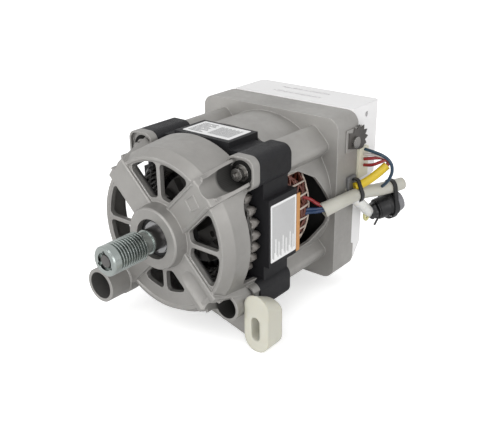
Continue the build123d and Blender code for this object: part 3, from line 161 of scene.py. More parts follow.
def material(name, colour, rough, metal=0.0, second=None, bump=0.1, grain=0.08, coat=0.0, edge=None,
             stripes=None, subsurface=0.0, gloss=0.5, painted_shade_wells=(), soften=0.0):
    """A procedural finish: two shades, roughness that varies, grain in its height, softened edges painted
    lighter partly as wear and partly as a painted highlight, stripes, and painted shade in a casting's hollows,
    each hollow an axis in X and Z, a radius and two stations. Lengths are in millimetres."""
    made = bpy.data.materials.new(name)
    made.use_nodes = True
    nodes, links = made.node_tree.nodes, made.node_tree.links
    shader = nodes["Principled BSDF"]
    shader.inputs["Metallic"].default_value = metal
    shader.inputs["Specular IOR Level"].default_value = gloss
    shader.inputs["Coat Weight"].default_value = coat
    shader.inputs["Coat Roughness"].default_value = 0.15
    if subsurface:
        shader.inputs["Subsurface Weight"].default_value = subsurface
        shader.inputs["Subsurface Radius"].default_value = (0.004, 0.0035, 0.0025)
        shader.inputs["Subsurface Scale"].default_value = 1.0
    coords = nodes.new("ShaderNodeTexCoord").outputs["Object"]
    group = nodes.new("ShaderNodeGroup")
    group.node_tree = FINE_GRAIN
    links.new(coords, group.inputs["Vector"])
    tone = nodes.new("ShaderNodeMix")
    tone.data_type = "RGBA"
    tone.inputs["A"].default_value = (*colour, 1.0)
    tone.inputs["B"].default_value = (*(second or [channel * 0.82 for channel in colour]), 1.0)
    links.new(group.outputs["Shade"], tone.inputs["Factor"])
    paint = tone.outputs["Result"]
    height = group.outputs["Height"]
    if stripes:
        axis, pitch, depth = stripes
        wave = nodes.new("ShaderNodeTexWave")
        wave.wave_type = "BANDS"
        wave.bands_direction = axis
        wave.inputs["Scale"].default_value = math.pi / (10 * pitch * MM)
        wave.inputs["Distortion"].default_value = 0.25
        wave.inputs["Detail"].default_value = 1.0
        links.new(coords, wave.inputs["Vector"])
        band = nodes.new("ShaderNodeMix")
        band.inputs["Factor"].default_value = depth
        links.new(height, band.inputs["A"])
        links.new(wave.outputs["Fac"], band.inputs["B"])
        height = band.outputs["Result"]
    rounded = None
    if soften:
        rounded = nodes.new("ShaderNodeBevel")
        rounded.samples = 6
        rounded.inputs["Radius"].default_value = soften * MM
    # Edges found by the rounded normal are painted lighter: partly wear, partly a painted highlight
    if soften and edge:
        geometry = nodes.new("ShaderNodeNewGeometry")
        agreement = nodes.new("ShaderNodeVectorMath")
        agreement.operation = "DOT_PRODUCT"
        links.new(rounded.outputs["Normal"], agreement.inputs[0])
        links.new(geometry.outputs["Normal"], agreement.inputs[1])
        wear_and_painted_highlight = spread(nodes, links, agreement.outputs["Value"], 0.80, 0.98, 0.75, 0.0)
        paint = paint_over(nodes, links, wear_and_painted_highlight, paint, edge)
    shade = None
    # Painted shade laid by position in a casting's hollows, with the roughness raised there
    for well in painted_shade_wells:
        mask = painted_shade_mask(nodes, links, coords, *well)
        shade = mask if shade is None else combine(nodes, links, "MAXIMUM", shade, mask)
    if shade is not None:
        paint = paint_over(nodes, links, shade, paint, PAINTED_WELL_SHADE)
    links.new(paint, shader.inputs["Base Color"])
    sheen = nodes.new("ShaderNodeMath")
    sheen.operation = "MULTIPLY_ADD"
    sheen.inputs[1].default_value = grain
    sheen.inputs[2].default_value = rough
    links.new(group.outputs["Sheen"], sheen.inputs[0])
    roughness = sheen.outputs["Value"]
    if shade is not None:
        dull = nodes.new("ShaderNodeMix")
        dull.inputs["B"].default_value = 0.95
        links.new(shade, dull.inputs["Factor"])
        links.new(roughness, dull.inputs["A"])
        roughness = dull.outputs["Result"]
    links.new(roughness, shader.inputs["Roughness"])
    relief = nodes.new("ShaderNodeBump")
    relief.inputs["Strength"].default_value = bump
    relief.inputs["Distance"].default_value = 0.0004
    links.new(height, relief.inputs["Height"])
    if rounded:
        links.new(rounded.outputs["Normal"], relief.inputs["Normal"])
    links.new(relief.outputs["Normal"], shader.inputs["Normal"])
    return made


BOLT_C = 47.5               # The through bolts stand this far from the shaft in X and in Z, in millimetres
# Painted shade in the front shield's hollows: the troughs round three through bolts, the bore of the mounting
# tube, and the inside behind the windows
CAST = material("cast_aluminium", (0.315, 0.306, 0.292), 0.46, 0.55, (0.235, 0.228, 0.217), 0.4, 0.2,
                edge=(0.43, 0.42, 0.405), soften=0.9,
                painted_shade_wells=((BOLT_C, BOLT_C, 9.0, 24.0, 46.0), (-BOLT_C, BOLT_C, 9.0, 24.0, 46.0),
                       (BOLT_C, -BOLT_C, 9.0, 20.0, 46.0), (-BOLT_C, -BOLT_C, 10.8, -14.0, 46.0),
                       (0.0, 0.0, 50.0, 14.0, 46.0)))
# Painted shade on the inside of the rear drum
CAST_REAR = material("cast_rear", (0.36, 0.35, 0.334), 0.48, 0.5, (0.27, 0.262, 0.25), 0.4, 0.2,
                     edge=(0.46, 0.45, 0.435), soften=0.9, painted_shade_wells=((0.0, 0.0, 60.2, 86.0, 134.0),))
BLACK_STACK = material("black_lamination", (0.010, 0.010, 0.0115), 0.55, 0.0, (0.016, 0.016, 0.018), 0.5, 0.12,
                       edge=(0.028, 0.028, 0.03), stripes=("Y", 0.65, 0.75), gloss=0.22, soften=0.5)
ROTOR_STEEL = material("rotor_steel", (0.26, 0.25, 0.24), 0.45, 0.9, (0.2, 0.19, 0.18), 0.5,
                       stripes=("Y", 0.5, 0.6))
ROTOR_ALLOY = material("rotor_alloy", (0.13, 0.125, 0.12), 0.5, 0.7, bump=0.4)
SHAFT = material("shaft_steel", (0.16, 0.155, 0.15), 0.32, 0.9, (0.1, 0.098, 0.095), 0.15)
ZINC = material("pulley_zinc", (0.40, 0.43, 0.415), 0.21, 1.0, (0.29, 0.32, 0.31), 0.12, 0.14,
                edge=(0.66, 0.70, 0.68), soften=0.12)
BRIGHT = material("bearing_steel", (0.30, 0.30, 0.305), 0.22, 1.0, bump=0.04)
SEAL = material("seal_rubber", (0.02, 0.02, 0.021), 0.6, bump=0.2)
VARNISH = material("black_varnish", (0.022, 0.020, 0.018), 0.36, 0.0, (0.05, 0.046, 0.04), 0.9, 0.25, coat=0.3)
# The knuckles' varnish is the black varnish painted about ten times lighter: a painted highlight
KNUCKLE_PAINTED_HIGHLIGHT = material("coil_heads_painted_highlight", (0.22, 0.205, 0.19), 0.34, 0.35, (0.12, 0.11, 0.10), 0.5, 0.25,
                   coat=0.3)
COPPER = material("copper_enamel", (0.17, 0.045, 0.022), 0.3, 0.35, (0.09, 0.02, 0.012), 0.3, 0.15, coat=0.4)
LACE = material("white_lacing", (0.62, 0.54, 0.47), 0.75, 0.0, (0.50, 0.42, 0.36), 0.6)
FILM = material("orange_film", (0.52, 0.24, 0.065), 0.4, 0.0, (0.44, 0.20, 0.05), 0.15)
TAG = material("dull_ground_tag", (0.11, 0.10, 0.092), 0.5, 0.25, (0.035, 0.032, 0.03), 0.35, 0.15)
PRINT = material("label_print", (0.10, 0.10, 0.105), 0.6, 0.0, (0.15, 0.15, 0.155), 0.02)
PALE_WIRE = material("pale_wire", (0.50, 0.46, 0.44), 0.35, 0.0, (0.44, 0.40, 0.38), 0.1)
STRAW_WIRE = material("straw_wire", (0.60, 0.57, 0.28), 0.35, 0.0, (0.52, 0.49, 0.22), 0.1)
CLEAR_SLEEVE = material("clear_sleeve", (0.66, 0.66, 0.64), 0.28, 0.0, (0.60, 0.60, 0.58), 0.25, 0.1,
                        subsurface=0.3)
CLIP_GREY = material("clip_grey", (0.15, 0.15, 0.152), 0.4, 0.0, (0.11, 0.11, 0.112), 0.15)
BOLT = material("bolt_steel", (0.28, 0.272, 0.26), 0.28, 0.95, (0.24, 0.23, 0.22), 0.2, 0.15,
                edge=(0.50, 0.49, 0.47), soften=0.3)
NYLON = material("cream_nylon", (0.52, 0.51, 0.44), 0.42, 0.0, (0.48, 0.47, 0.40), 0.12, 0.06,
                 subsurface=0.35, soften=2.2)
WHITE = material("white_plastic", (0.80, 0.795, 0.795), 0.45, 0.0, (0.76, 0.755, 0.755), 0.2, 0.06, soften=0.8)
GREEN = material("board_green", (0.03, 0.13, 0.05), 0.35, 0.0, (0.02, 0.10, 0.04), 0.2)
BLACK = material("component_black", (0.02, 0.02, 0.022), 0.35, 0.0, (0.03, 0.03, 0.032), 0.1)
MAGNET = material("magnet_dark", (0.08, 0.08, 0.085), 0.4, 0.4)
CREAM = material("cream_plastic", (0.62, 0.60, 0.50), 0.38, 0.0, (0.58, 0.56, 0.45), 0.08, subsurface=0.15)
SLEEVE = material("cream_sleeve", (0.50, 0.49, 0.44), 0.36, 0.0, (0.40, 0.39, 0.34), 0.2, 0.1, subsurface=0.15)
YELLOW = material("yellow_plastic", (0.62, 0.45, 0.012), 0.36, 0.0, (0.52, 0.37, 0.01), 0.15)
NAVY = material("navy_plastic", (0.012, 0.03, 0.075), 0.3, 0.0, (0.015, 0.045, 0.06), 0.1)
BLUE = material("blue_plastic", (0.01, 0.042, 0.13), 0.3, 0.0, (0.01, 0.035, 0.10), 0.1)
RED = material("red_plastic", (0.28, 0.010, 0.012), 0.3, 0.0, (0.20, 0.008, 0.01), 0.1)
PLUG = material("plug_black", (0.009, 0.009, 0.010), 0.34, 0.0, (0.014, 0.014, 0.015), 0.15, gloss=0.35)
GREY = material("grey_cap", (0.20, 0.20, 0.21), 0.42, 0.0, (0.17, 0.17, 0.18), 0.15)
PAPER = material("label_paper", (0.78, 0.78, 0.78), 0.5, 0.0, (0.73, 0.73, 0.73), 0.05)

FINISHES = {
    "cast_aluminium": CAST, "cast_rear": CAST_REAR, "black_lamination": BLACK_STACK, "rotor_steel": ROTOR_STEEL,
    "rotor_alloy": ROTOR_ALLOY, "shaft_steel": SHAFT, "pulley_zinc": ZINC, "bearing_steel": BRIGHT,
    "seal_rubber": SEAL, "black_varnish": VARNISH, "copper_enamel": COPPER, "white_lacing": LACE,
    "orange_film": FILM, "bolt_steel": BOLT, "cream_nylon": NYLON, "white_plastic": WHITE,
    "board_green": GREEN, "component_black": BLACK, "magnet_dark": MAGNET, "cream_plastic": CREAM,
    "cream_sleeve": SLEEVE, "yellow_plastic": YELLOW, "navy_plastic": NAVY, "red_plastic": RED,
    "plug_black": PLUG, "grey_cap": GREY,
}
for entry in frame["record"]["subparts"]:
    carried = frame["nodes"][entry["node"]]
    carried.data.materials.clear()
    finish = CAST_REAR if entry["node"] == "ground_plate" else FINISHES[entry["material_slot"]]
    carried.data.materials.append(finish)


# Building helpers
def keep(obj, finish, body=HOUSING):
    """Links a new piece, gives it its finish and slot, and lets it ride on a body."""
    if obj.name not in bpy.context.scene.collection.objects:
        bpy.context.scene.collection.objects.link(obj)
    obj.data.materials.append(finish)
    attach(obj, body)
    return obj


def mesh_piece(name, vertices, faces, finish, smooth=True):
    """A piece from vertices in metres and faces."""
    data = bpy.data.meshes.new(name)
    data.from_pydata(vertices, [], faces)
    data.validate()
    data.update()
    if smooth:
        data.shade_smooth()
    return keep(bpy.data.objects.new(name, data), finish)


def swept(name, routes, radius, cyclic=False, sides=5, steps=10, swells=None, ends=True):
    """A mesh of round tubes along smooth lines through control points, in millimetres."""
    curve = bpy.data.curves.new(name + "_line", "CURVE")
    curve.dimensions = "3D"
    curve.bevel_depth = radius * MM
    curve.bevel_resolution = sides
    curve.resolution_u = steps
    curve.use_fill_caps = ends
    for route in routes:
        spline = curve.splines.new("NURBS")
        spline.points.add(len(route) - 1)
        for point, place, swell in zip(spline.points, route, swells or [1.0] * len(route)):
            point.co = (*[value * MM for value in place], 1.0)
            point.radius = swell
        spline.order_u = 3
        spline.use_endpoint_u = not cyclic
        spline.use_cyclic_u = cyclic
    line = bpy.data.objects.new(name + "_line", curve)
    bpy.context.scene.collection.objects.link(line)
    data = bpy.data.meshes.new_from_object(line.evaluated_get(bpy.context.evaluated_depsgraph_get()))
    bpy.data.objects.remove(line)
    bpy.data.curves.remove(curve)
    data.name = name
    data.shade_smooth()
    return data


def tube(name, routes, radius, finish, cyclic=False, sides=5, steps=10):
    """A piece of round tubes along smooth lines, their points and radius in millimetres."""
    data = swept(name, routes, radius, cyclic, sides, steps)
    piece = keep(bpy.data.objects.new(name, data), finish)
    crisp = piece.modifiers.new("crisp_ends", "EDGE_SPLIT")
    crisp.split_angle = math.radians(60)
    return piece


def around(radius, angle, y):
    """A point about the shaft: radius, angle from +X towards +Z in degrees, and station."""
    turn = math.radians(angle)
    return (radius * math.cos(turn), y, radius * math.sin(turn))


# Windings
SLOTS = 36
ring_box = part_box("rear_winding")
COIL_REACH = 6.8            # How far the loose wires reach past their solid, in millimetres
WIRE_STEPS = 72             # Points round one strand
RING_HALF_WIDTH = 8.0
RING_SQUARENESS = 0.65      # Under 1, the ring's section is squarer than an ellipse
RING_Y = (ring_box[0][1] + ring_box[1][1]) / 2 / MM + COIL_REACH / 2
RING_HALF = (ring_box[1][1] - ring_box[0][1]) / 2 / MM + COIL_REACH / 2
RING_OUT = ring_box[1][0] / MM
STACK_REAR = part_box("stator_core")[1][1] / MM
front_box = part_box("front_winding")
FRONT_Y0, FRONT_Y1 = front_box[0][1] / MM, front_box[1][1] / MM


def ring_point(angle, section, grow=0.0):
    """A point on the rear winding's rounded section, at an angle about the shaft."""
    side = math.copysign(abs(math.cos(section)) ** RING_SQUARENESS, math.cos(section))
    along = math.copysign(abs(math.sin(section)) ** RING_SQUARENESS, math.sin(section))
    radius = RING_OUT - RING_HALF_WIDTH + (RING_HALF_WIDTH + grow) * side
    return around(radius, angle, RING_Y + (RING_HALF + grow) * along)


def rear_winding():
    """Many copper wires laid round the ring, crossing a little, each a closed strand."""
    layers = 34
    strands = []
    for layer in range(layers):
        section = 2 * math.pi * layer / layers
        route = []
        for step in range(WIRE_STEPS):
            wobble = 0.22 * math.sin(step * 1.7 + layer * 2.1) + 0.12 * math.sin(step * 0.9 + layer)
            depth = -1.0 + 0.35 * math.sin(step * 1.3 + layer * 1.9)
            route.append(ring_point(step * 360 / WIRE_STEPS, section + wobble, depth))
        strands.append(route)
    wires = tube("rear_coil_wires", strands, 1.05, COPPER, cyclic=True, sides=2, steps=2)
    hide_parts("rear_winding")


def coil_heads():
    """The coil sides that come out of the slots at the rear and turn into the ring."""
    sides = []
    for slot in range(SLOTS):
        angle = slot * 360 / SLOTS
        for radius in (41.0, 44.2, 47.4, 50.4):
            lean = (radius - 45.7) * 0.4
            sides.append([around(radius, angle, STACK_REAR - 6), around(radius, angle, STACK_REAR + 1.5),
                          around(radius + lean, angle + 2.5, RING_Y - RING_HALF + 4)])
    heads = tube("slot_wires", sides, 1.35, COPPER, sides=2, steps=3)
    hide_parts("slot_conductors")


def coil_lobe(vertices, faces, angle, y):
    """One coil's knuckle: a rounded fold of bundled wire, grooved by its strands, that leans to the rear."""
    first = len(vertices)
    rings, spokes = 12, 20
    for row in range(rings + 1):
        height = -1.0 + 2.0 * row / rings
        width = math.sqrt(max(0.0, 1.0 - abs(height) ** 2.4))
        for spoke in range(spokes):
            turn = 2 * math.pi * spoke / spokes
            groove = 1.0 + 0.05 * math.cos(9 * height * math.pi / 2) + 0.02 * math.sin(5 * turn)
            out = 3.4 * width * math.cos(turn) * groove
            back_by = 4.6 * width * math.sin(turn) * groove + 3.0 * (1.0 - abs(height) ** 1.2)
            place = around(52.6 + out - 1.2 * abs(height), angle + height * 4.7, y + back_by)
            vertices.append([value * MM for value in place])
    for row in range(rings):
        for spoke in range(spokes):
            a = first + row * spokes + spoke
            b = first + row * spokes + (spoke + 1) % spokes
            faces.append((a, b, b + spokes, a + spokes))
    faces.append(tuple(first + spoke for spoke in reversed(range(spokes))))
    faces.append(tuple(first + rings * spokes + spoke for spoke in range(spokes)))


def front_winding():
    """The varnished front winding: knuckles of bundled wire over a ring of strands."""
    layers = 22
    centre, half_width, half_length = 46.0, 6.6, 7.6
    middle = (FRONT_Y0 + FRONT_Y1) / 2
    routes = []
    for layer in range(layers):
        section = 2 * math.pi * layer / layers
        route = []
        for step in range(WIRE_STEPS):
            wobble = 0.25 * math.sin(step * 1.9 + layer * 2.3)
            radius = centre + half_width * math.cos(section + wobble)
            station = middle + half_length * math.sin(section + wobble)
            route.append(around(radius, step * 360 / WIRE_STEPS, station))
        routes.append(route)
    ring = tube("front_coil_wires", routes, 1.3, VARNISH, cyclic=True, sides=2, steps=2)
    lobe_vertices, lobe_faces = [], []
    for slot in range(SLOTS):
        coil_lobe(lobe_vertices, lobe_faces, slot * 360 / SLOTS, FRONT_Y1 - 6.6)
    # The knuckles carry the painted highlight of their varnish in their colour
    mesh_piece("front_coil_knuckles", lobe_vertices, lobe_faces, KNUCKLE_PAINTED_HIGHLIGHT)
    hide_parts("front_winding")


def lacing():
    """The white cord laced round the rear winding: ties across it, and two runs that zigzag between them."""
    ties, loop_steps, first_tie = 38, 20, 3.0
    run_section = math.radians(41)
    knots = []
    for tie in range(ties):
        angle = tie * 360 / ties + first_tie
        loop = []
        for step in range(loop_steps):
            section = 2 * math.pi * step / loop_steps
            loop.append(ring_point(angle + 0.9 * math.sin(section + 0.6 * tie), section, 0.5))
        knots.append(loop)
    cord = tube("lacing_ties", knots, 0.72, LACE, cyclic=True, sides=2, steps=3)
    runs = []
    for strand in (-0.5, 0.5):
        run = []
        for step in range(ties * 4):
            swing = 0.13 * math.cos(step * math.pi / 2) + 0.05 * strand
            run.append(ring_point(step * 360 / (ties * 4) + first_tie, run_section + swing, 0.75))
        runs.append(run)
    tube("lacing_run", runs, 0.62, LACE, cyclic=True, sides=2, steps=3)
    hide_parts("rear_lacing_cord")


rear_winding()
coil_heads()
front_winding()
lacing()


# Labels, bare but for faint grey bars. Heights over the stack and widths in millimetres.
PAPER_LIFT = 0.12
PRINT_LIFT = 0.16
BAR_SHARE = 0.42            # How much of its row a bar fills


def bars(name, corner, along, across, normal, rows, lengths):
    """Thin printed bars in rows on a label: its corner, the way the bars run, the way they follow, in mm."""
    corner, along, across = Vector(corner), Vector(along), Vector(across)
    lift = Vector(normal) * PRINT_LIFT
    vertices, faces = [], []
    step = across.length / rows
    for row in range(rows):
        for start, end in lengths[row % len(lengths)]:
            base = corner + across.normalized() * (row + 0.3) * step + lift
            near, far = base + along * start, base + along * end
            wide = across.normalized() * step * BAR_SHARE
            first = len(vertices)
            vertices += [point * MM for point in (near, far, far + wide, near + wide)]
            faces.append((first, first + 1, first + 2, first + 3))
    mesh_piece(name, vertices, faces, PRINT, smooth=False)


def label(name, corner, across, down, normal):
    """A thin label with rounded corners, given by a corner and two edges in mm."""
    corner, across, down = Vector(corner), Vector(across), Vector(down)
    lift = Vector(normal) * PAPER_LIFT
    radius, corner_steps = 1.0, 4
    ring = []
    for cx, cy, start in ((1, 1, 180), (-1, 1, 270), (-1, -1, 0), (1, -1, 90)):
        for step in range(corner_steps + 1):
            turn = math.radians(start + step * 90 / corner_steps)
            u = (radius if cx > 0 else across.length - radius) + radius * math.cos(turn)
            v = (radius if cy > 0 else down.length - radius) + radius * math.sin(turn)
            ring.append((u, v))
    front = [(corner + across.normalized() * u + down.normalized() * v + lift) * MM for u, v in ring]
    behind = [(corner + across.normalized() * u + down.normalized() * v) * MM for u, v in ring]
    count = len(ring)
    faces = [tuple(range(count)), tuple(reversed(range(count, 2 * count)))]
    faces += [(i, (i + 1) % count, count + (i + 1) % count, count + i) for i in range(count)]
    mesh_piece(name, front + behind, faces, PAPER, smooth=False)


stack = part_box("stator_core")
FLAT = stack[1][0] / MM
SIDE_Y0, SIDE_Y1 = 56.0, STACK_REAR - 0.5
label("side_label", (FLAT, SIDE_Y0, 21.5), (0, SIDE_Y1 - SIDE_Y0, 0), (0, 0, -44.4), (1, 0, 0))
bars("side_label_bars", (FLAT, SIDE_Y0 + 1.6, 19.8), (0, 0, -40.8), (0, SIDE_Y1 - SIDE_Y0 - 3.4, 0), (1, 0, 0),
     22, [((0.0, end),) for end in (0.97, 1.0, 0.88, 0.62, 0.94, 0.99, 0.70)])
label("top_label", (-22.4, 58.5, FLAT), (44.8, 0, 0), (0, 25.8, 0), (0, 0, 1))
bars("top_label_bars", (-19.5, 61.0, FLAT), (15.0, 0, 0), (0, 20.5, 0), (0, 0, 1), 9,
     (((0.0, 0.92),), ((0.0, 0.70),), ((0.0, 1.0),), ((0.0, 0.52), (0.62, 0.9))))
bars("top_label_stripes", (-1.5, 62.5, FLAT), (0, 17.5, 0), (20.5, 0, 0), (0, 0, 1), 17,
     [((0.0, end),) for end in (1.0, 1.0, 0.9)])


# Nylon bushing: its rounded top slopes down to the rear
def sloping_bushing(drop):
    """The bushing's own form with its upper part lowered towards the rear by a drop in millimetres."""
    low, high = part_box("nylon_bushing")
    data = frame["nodes"]["nylon_bushing"].data.copy()
    data.name = "bushing_sloped"
    middle = (low[2] + high[2]) / 2
    for vertex in data.vertices:
        share = max(0.0, (vertex.co.z - middle) / (high[2] - middle))
        behind = (vertex.co.y - low[1]) / (high[1] - low[1])
        vertex.co.z -= drop * MM * behind * share
    data.materials.clear()
    piece = keep(bpy.data.objects.new("bushing_sloped", data), NYLON)
    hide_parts("nylon_bushing")


sloping_bushing(8.0)


# Harness. The points repeat the routes of the part's cords, in millimetres.
MAIN_ROUTE = [(65.4, 115.9, -0.7), (67.2, 118.8, 0.6), (72.1, 128.6, 3.4), (72.7, 145.0, 3.0),
              (74.4, 161.6, 2.4), (80.5, 178.0, 0.6), (88.0, 198.0, 1.2)]
YELLOW_ROUTE = [(71.4, 151.0, 9.0), (74.6, 156.0, 10.2), (79.6, 162.5, 14.6), (83.8, 168.0, 19.6),
                (87.0, 172.2, 24.0)]
NAVY_ROUTE = [(68.85, 168.6, 34.7), (76.0, 168.6, 34.1), (86.0, 168.6, 32.6), (92.0, 169.5, 28.2),
              (92.5, 171.9, 20.5), (90.5, 171.7, 13.9), (86.0, 173.6, 7.9), (82.9, 174.2, 4.8)]
RED_ROUTE = [(68.85, 168.2, 26.7), (76.0, 169.4, 28.4), (81.8, 172.0, 29.2), (86.6, 174.3, 28.6),
             (87.6, 174.1, 25.6), (86.1, 172.4, 23.3)]
LOW_RED_ROUTE = [(68.85, 168.7, 21.6), (76.0, 167.3, 22.8), (82.6, 168.8, 26.6), (87.2, 171.6, 29.2),
                 (89.3, 172.1, 26.5), (87.7, 170.2, 23.9)]


def open_sleeve(name, route, radius, swells, thickness, finish):
    """A soft sleeve with open ends and a wall, a little wider or narrower at each point of its route."""
    data = swept(name, [route], radius, sides=8, steps=14, swells=swells, ends=False)
    sleeve = keep(bpy.data.objects.new(name, data), finish)
    wall = sleeve.modifiers.new("wall", "SOLIDIFY")
    wall.thickness = thickness * MM
    wall.offset = -1.0
    return sleeve


main_sleeve = open_sleeve("harness_sleeve", MAIN_ROUTE, 5.25, (1.12, 1.08, 0.98, 1.0, 0.94, 1.03, 0.98), 0.7,
                          SLEEVE)
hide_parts("main_sleeve")
yellow_sleeve = tube("harness_yellow_sleeve", [YELLOW_ROUTE], 3.35, YELLOW)
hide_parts("yellow_sleeve")
navy_wire = tube("harness_navy_wire", [NAVY_ROUTE], 1.3, NAVY)
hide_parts("navy_wire")
red_wires = tube("harness_red_wires", [RED_ROUTE, LOW_RED_ROUTE], 1.3, RED)
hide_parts("red_wires")
# Leads from the rear winding into the sleeve's mouth
BLUE_LEADS = [[(50.0, 107.5, -4.5), (54.6, 111.5, -3.6), (60.5, 114.2, -2.6), (67.5, 119.6, -0.4),
               (72.1, 128.6, 2.0)],
              [(49.5, 107.5, -1.5), (55.0, 112.5, -1.2), (60.8, 115.5, -0.6), (67.0, 120.6, 1.0),
               (71.4, 129.2, 3.0)]]
RED_LEADS = [[(50.0, 106.5, 10.0), (55.0, 112.8, 8.0), (60.5, 114.5, 3.8), (67.0, 119.4, 1.8),
              (72.0, 128.6, 4.6)]]
tube("blue_leads", BLUE_LEADS, 1.35, BLUE)
tube("red_leads", RED_LEADS, 1.35, RED)


def turned(name, start, way, profile, finish, lobes=0, depth=0.0, spokes=48):
    """A turned piece on an axis in mm: its profile as (along, radius), with shallow ribs if lobes are given."""
    axis = Vector(way).normalized()
    side = axis.cross(Vector((0.0, 0.0, 1.0))).normalized()
    other = axis.cross(side)
    vertices, faces = [], []
    for along, radius in profile:
        for spoke in range(spokes):
            turn = 2 * math.pi * spoke / spokes
            reach = radius * (1.0 + depth * math.cos(lobes * turn)) if lobes else radius
            place = Vector(start) + axis * along + (side * math.cos(turn) + other * math.sin(turn)) * reach
            vertices.append(place * MM)
    for row in range(len(profile) - 1):
        for spoke in range(spokes):
            a = row * spokes + spoke
            b = row * spokes + (spoke + 1) % spokes
            faces.append((a, b, b + spokes, a + spokes))
    faces.append(tuple(reversed(range(spokes))))
    faces.append(tuple(range((len(profile) - 1) * spokes, len(profile) * spokes)))
    piece = mesh_piece(name, vertices, faces, finish)
    split = piece.modifiers.new("crisp_edges", "EDGE_SPLIT")
    split.split_angle = math.radians(38)
    return piece


# Round plug: a taped tail, a body with a stepped collar, and a ribbed grey cap
PLUG_START = Vector((76.8, 179.6, -18.0))
PLUG_WAY = (Vector((85.0, 193.1, -14.3)) - PLUG_START).normalized()
plug_body = turned("plug_body", PLUG_START, PLUG_WAY,
                   [(-1.0, 5.6), (-0.4, 7.6), (0.3, 8.6), (1.4, 8.8), (8.6, 8.8), (9.0, 9.0), (9.6, 9.9),
                    (10.2, 10.1), (12.6, 10.1), (13.1, 9.7), (13.4, 9.2), (14.0, 9.2), (14.3, 9.8), (15.8, 9.8),
                    (16.2, 9.4)],
                   PLUG)
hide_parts("round_plug")
turned("plug_tail", PLUG_START, PLUG_WAY,
       [(-8.6, 3.2), (-8.2, 4.9), (-7.0, 6.2), (-5.6, 6.5), (-4.6, 6.1), (-3.8, 6.6), (-2.4, 6.9), (-1.6, 6.2),
        (-0.6, 5.8)], PLUG, lobes=5, depth=0.07)
plug_grip = turned("plug_cap_ribbed", PLUG_START, PLUG_WAY,
                   [(15.8, 8.2), (16.4, 8.6), (17.6, 8.5), (20.4, 7.9), (21.6, 7.3), (22.2, 6.2), (22.3, 4.6),
                    (21.4, 4.4), (21.2, 1.0)], GREY, lobes=20, depth=0.018, spokes=120)
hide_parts("plug_cap")
TAIL_TIE = PLUG_START - PLUG_WAY * 0.6
TIE_RADIUS, TIE_STEPS = 8.0, 16
plug_side = PLUG_WAY.cross(Vector((0.0, 0.0, 1.0))).normalized()
plug_other = PLUG_WAY.cross(plug_side)
tail_ring = []
for step in range(TIE_STEPS):
    turn = 2 * math.pi * step / TIE_STEPS
    tail_ring.append(tuple(TAIL_TIE + (plug_side * math.cos(turn) + plug_other * math.sin(turn)) * TIE_RADIUS))
tube("plug_tail_tie", [tail_ring], 0.75, PLUG, cyclic=True)
tube("plug_tail_tie_end", [[tuple(TAIL_TIE + Vector((2.6, -1.4, -7.0))), (78.6, 176.8, -27.0),
                            (77.8, 174.6, -30.4)]], 0.8, PLUG)
tube("plug_lead", [[(72.6, 147.5, 1.0), (74.4, 154.0, -4.0), (75.2, 161.0, -10.6), (74.4, 168.0, -16.0),
                    tuple(PLUG_START - PLUG_WAY * 7.0)]], 4.3, CLEAR_SLEEVE)
tube("plug_straw_wire", [[(73.2, 166.0, -17.0), (72.0, 167.0, -23.6), (73.6, 170.2, -25.6),
                          tuple(PLUG_START - PLUG_WAY * 7.4)]], 1.25, STRAW_WIRE)
tube("third_lead", [[(68.85, 168.4, 30.6), (76.0, 169.8, 31.4), (82.4, 171.6, 30.6), (87.0, 173.6, 27.6),
                     (87.2, 173.0, 24.6)]], 1.2, PALE_WIRE)


# Grey block that carries the clip, and the toothed tag under the ground screw
WALL = 66.4                 # The tray's side wall, in millimetres


def block(name, low, high, finish):
    """A moulded block with rounded edges between two corners in mm."""
    rounding = 0.8
    shape = bmesh.new()
    bmesh.ops.create_cube(shape, size=1.0)
    middle = (Vector(low) + Vector(high)) / 2
    size = Vector(high) - Vector(low)
    for vertex in shape.verts:
        vertex.co = Vector([middle[i] + vertex.co[i] * size[i] for i in range(3)]) * MM
    bmesh.ops.bevel(shape, geom=shape.edges[:], offset=rounding * MM, segments=3, affect="EDGES", profile=0.5)
    data = bpy.data.meshes.new(name)
    shape.to_mesh(data)
    shape.free()
    keep(bpy.data.objects.new(name, data), finish)


screw_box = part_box("ground_screw")
plate_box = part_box("ground_plate")
SCREW_Y = (screw_box[0][1] + screw_box[1][1]) / 2 / MM
SCREW_Z = (screw_box[0][2] + screw_box[1][2]) / 2 / MM
PLATE_X = plate_box[1][0] / MM
block("clip_block", (WALL + 0.05, 146.2, 6.0), (WALL + 2.6, 157.2, 17.0), CLIP_GREY)


def ground_tag():
    """A thin steel tag with large teeth round its upper and rear edge."""
    outline = [(SCREW_Y - 8.5, SCREW_Z - 3.5), (SCREW_Y + 12.0, SCREW_Z - 8.5)]
    teeth, thickness = 6, 0.7
    mean_reach, tooth_height = 12.6, 2.0
    for tooth in range(teeth * 4 + 1):
        turn = math.radians(-38 + 175 * tooth / (teeth * 4))
        reach = mean_reach + tooth_height * math.sin(tooth * math.pi / 2)
        outline.append((SCREW_Y + 5.0 + reach * math.cos(turn), SCREW_Z + 1.0 + reach * math.sin(turn) * 0.8))
    outline.append((SCREW_Y - 8.5, SCREW_Z + 9.0))
    count = len(outline)
    lower = [(PLATE_X * MM, y * MM, z * MM) for y, z in outline]
    upper = [((PLATE_X + thickness) * MM, y * MM, z * MM) for y, z in outline]
    faces = [tuple(reversed(range(count))), tuple(range(count, 2 * count))]
    faces += [(i, (i + 1) % count, count + (i + 1) % count, count + i) for i in range(count)]
    mesh_piece("ground_tag", lower + upper, faces, TAG, smooth=False)


ground_tag()


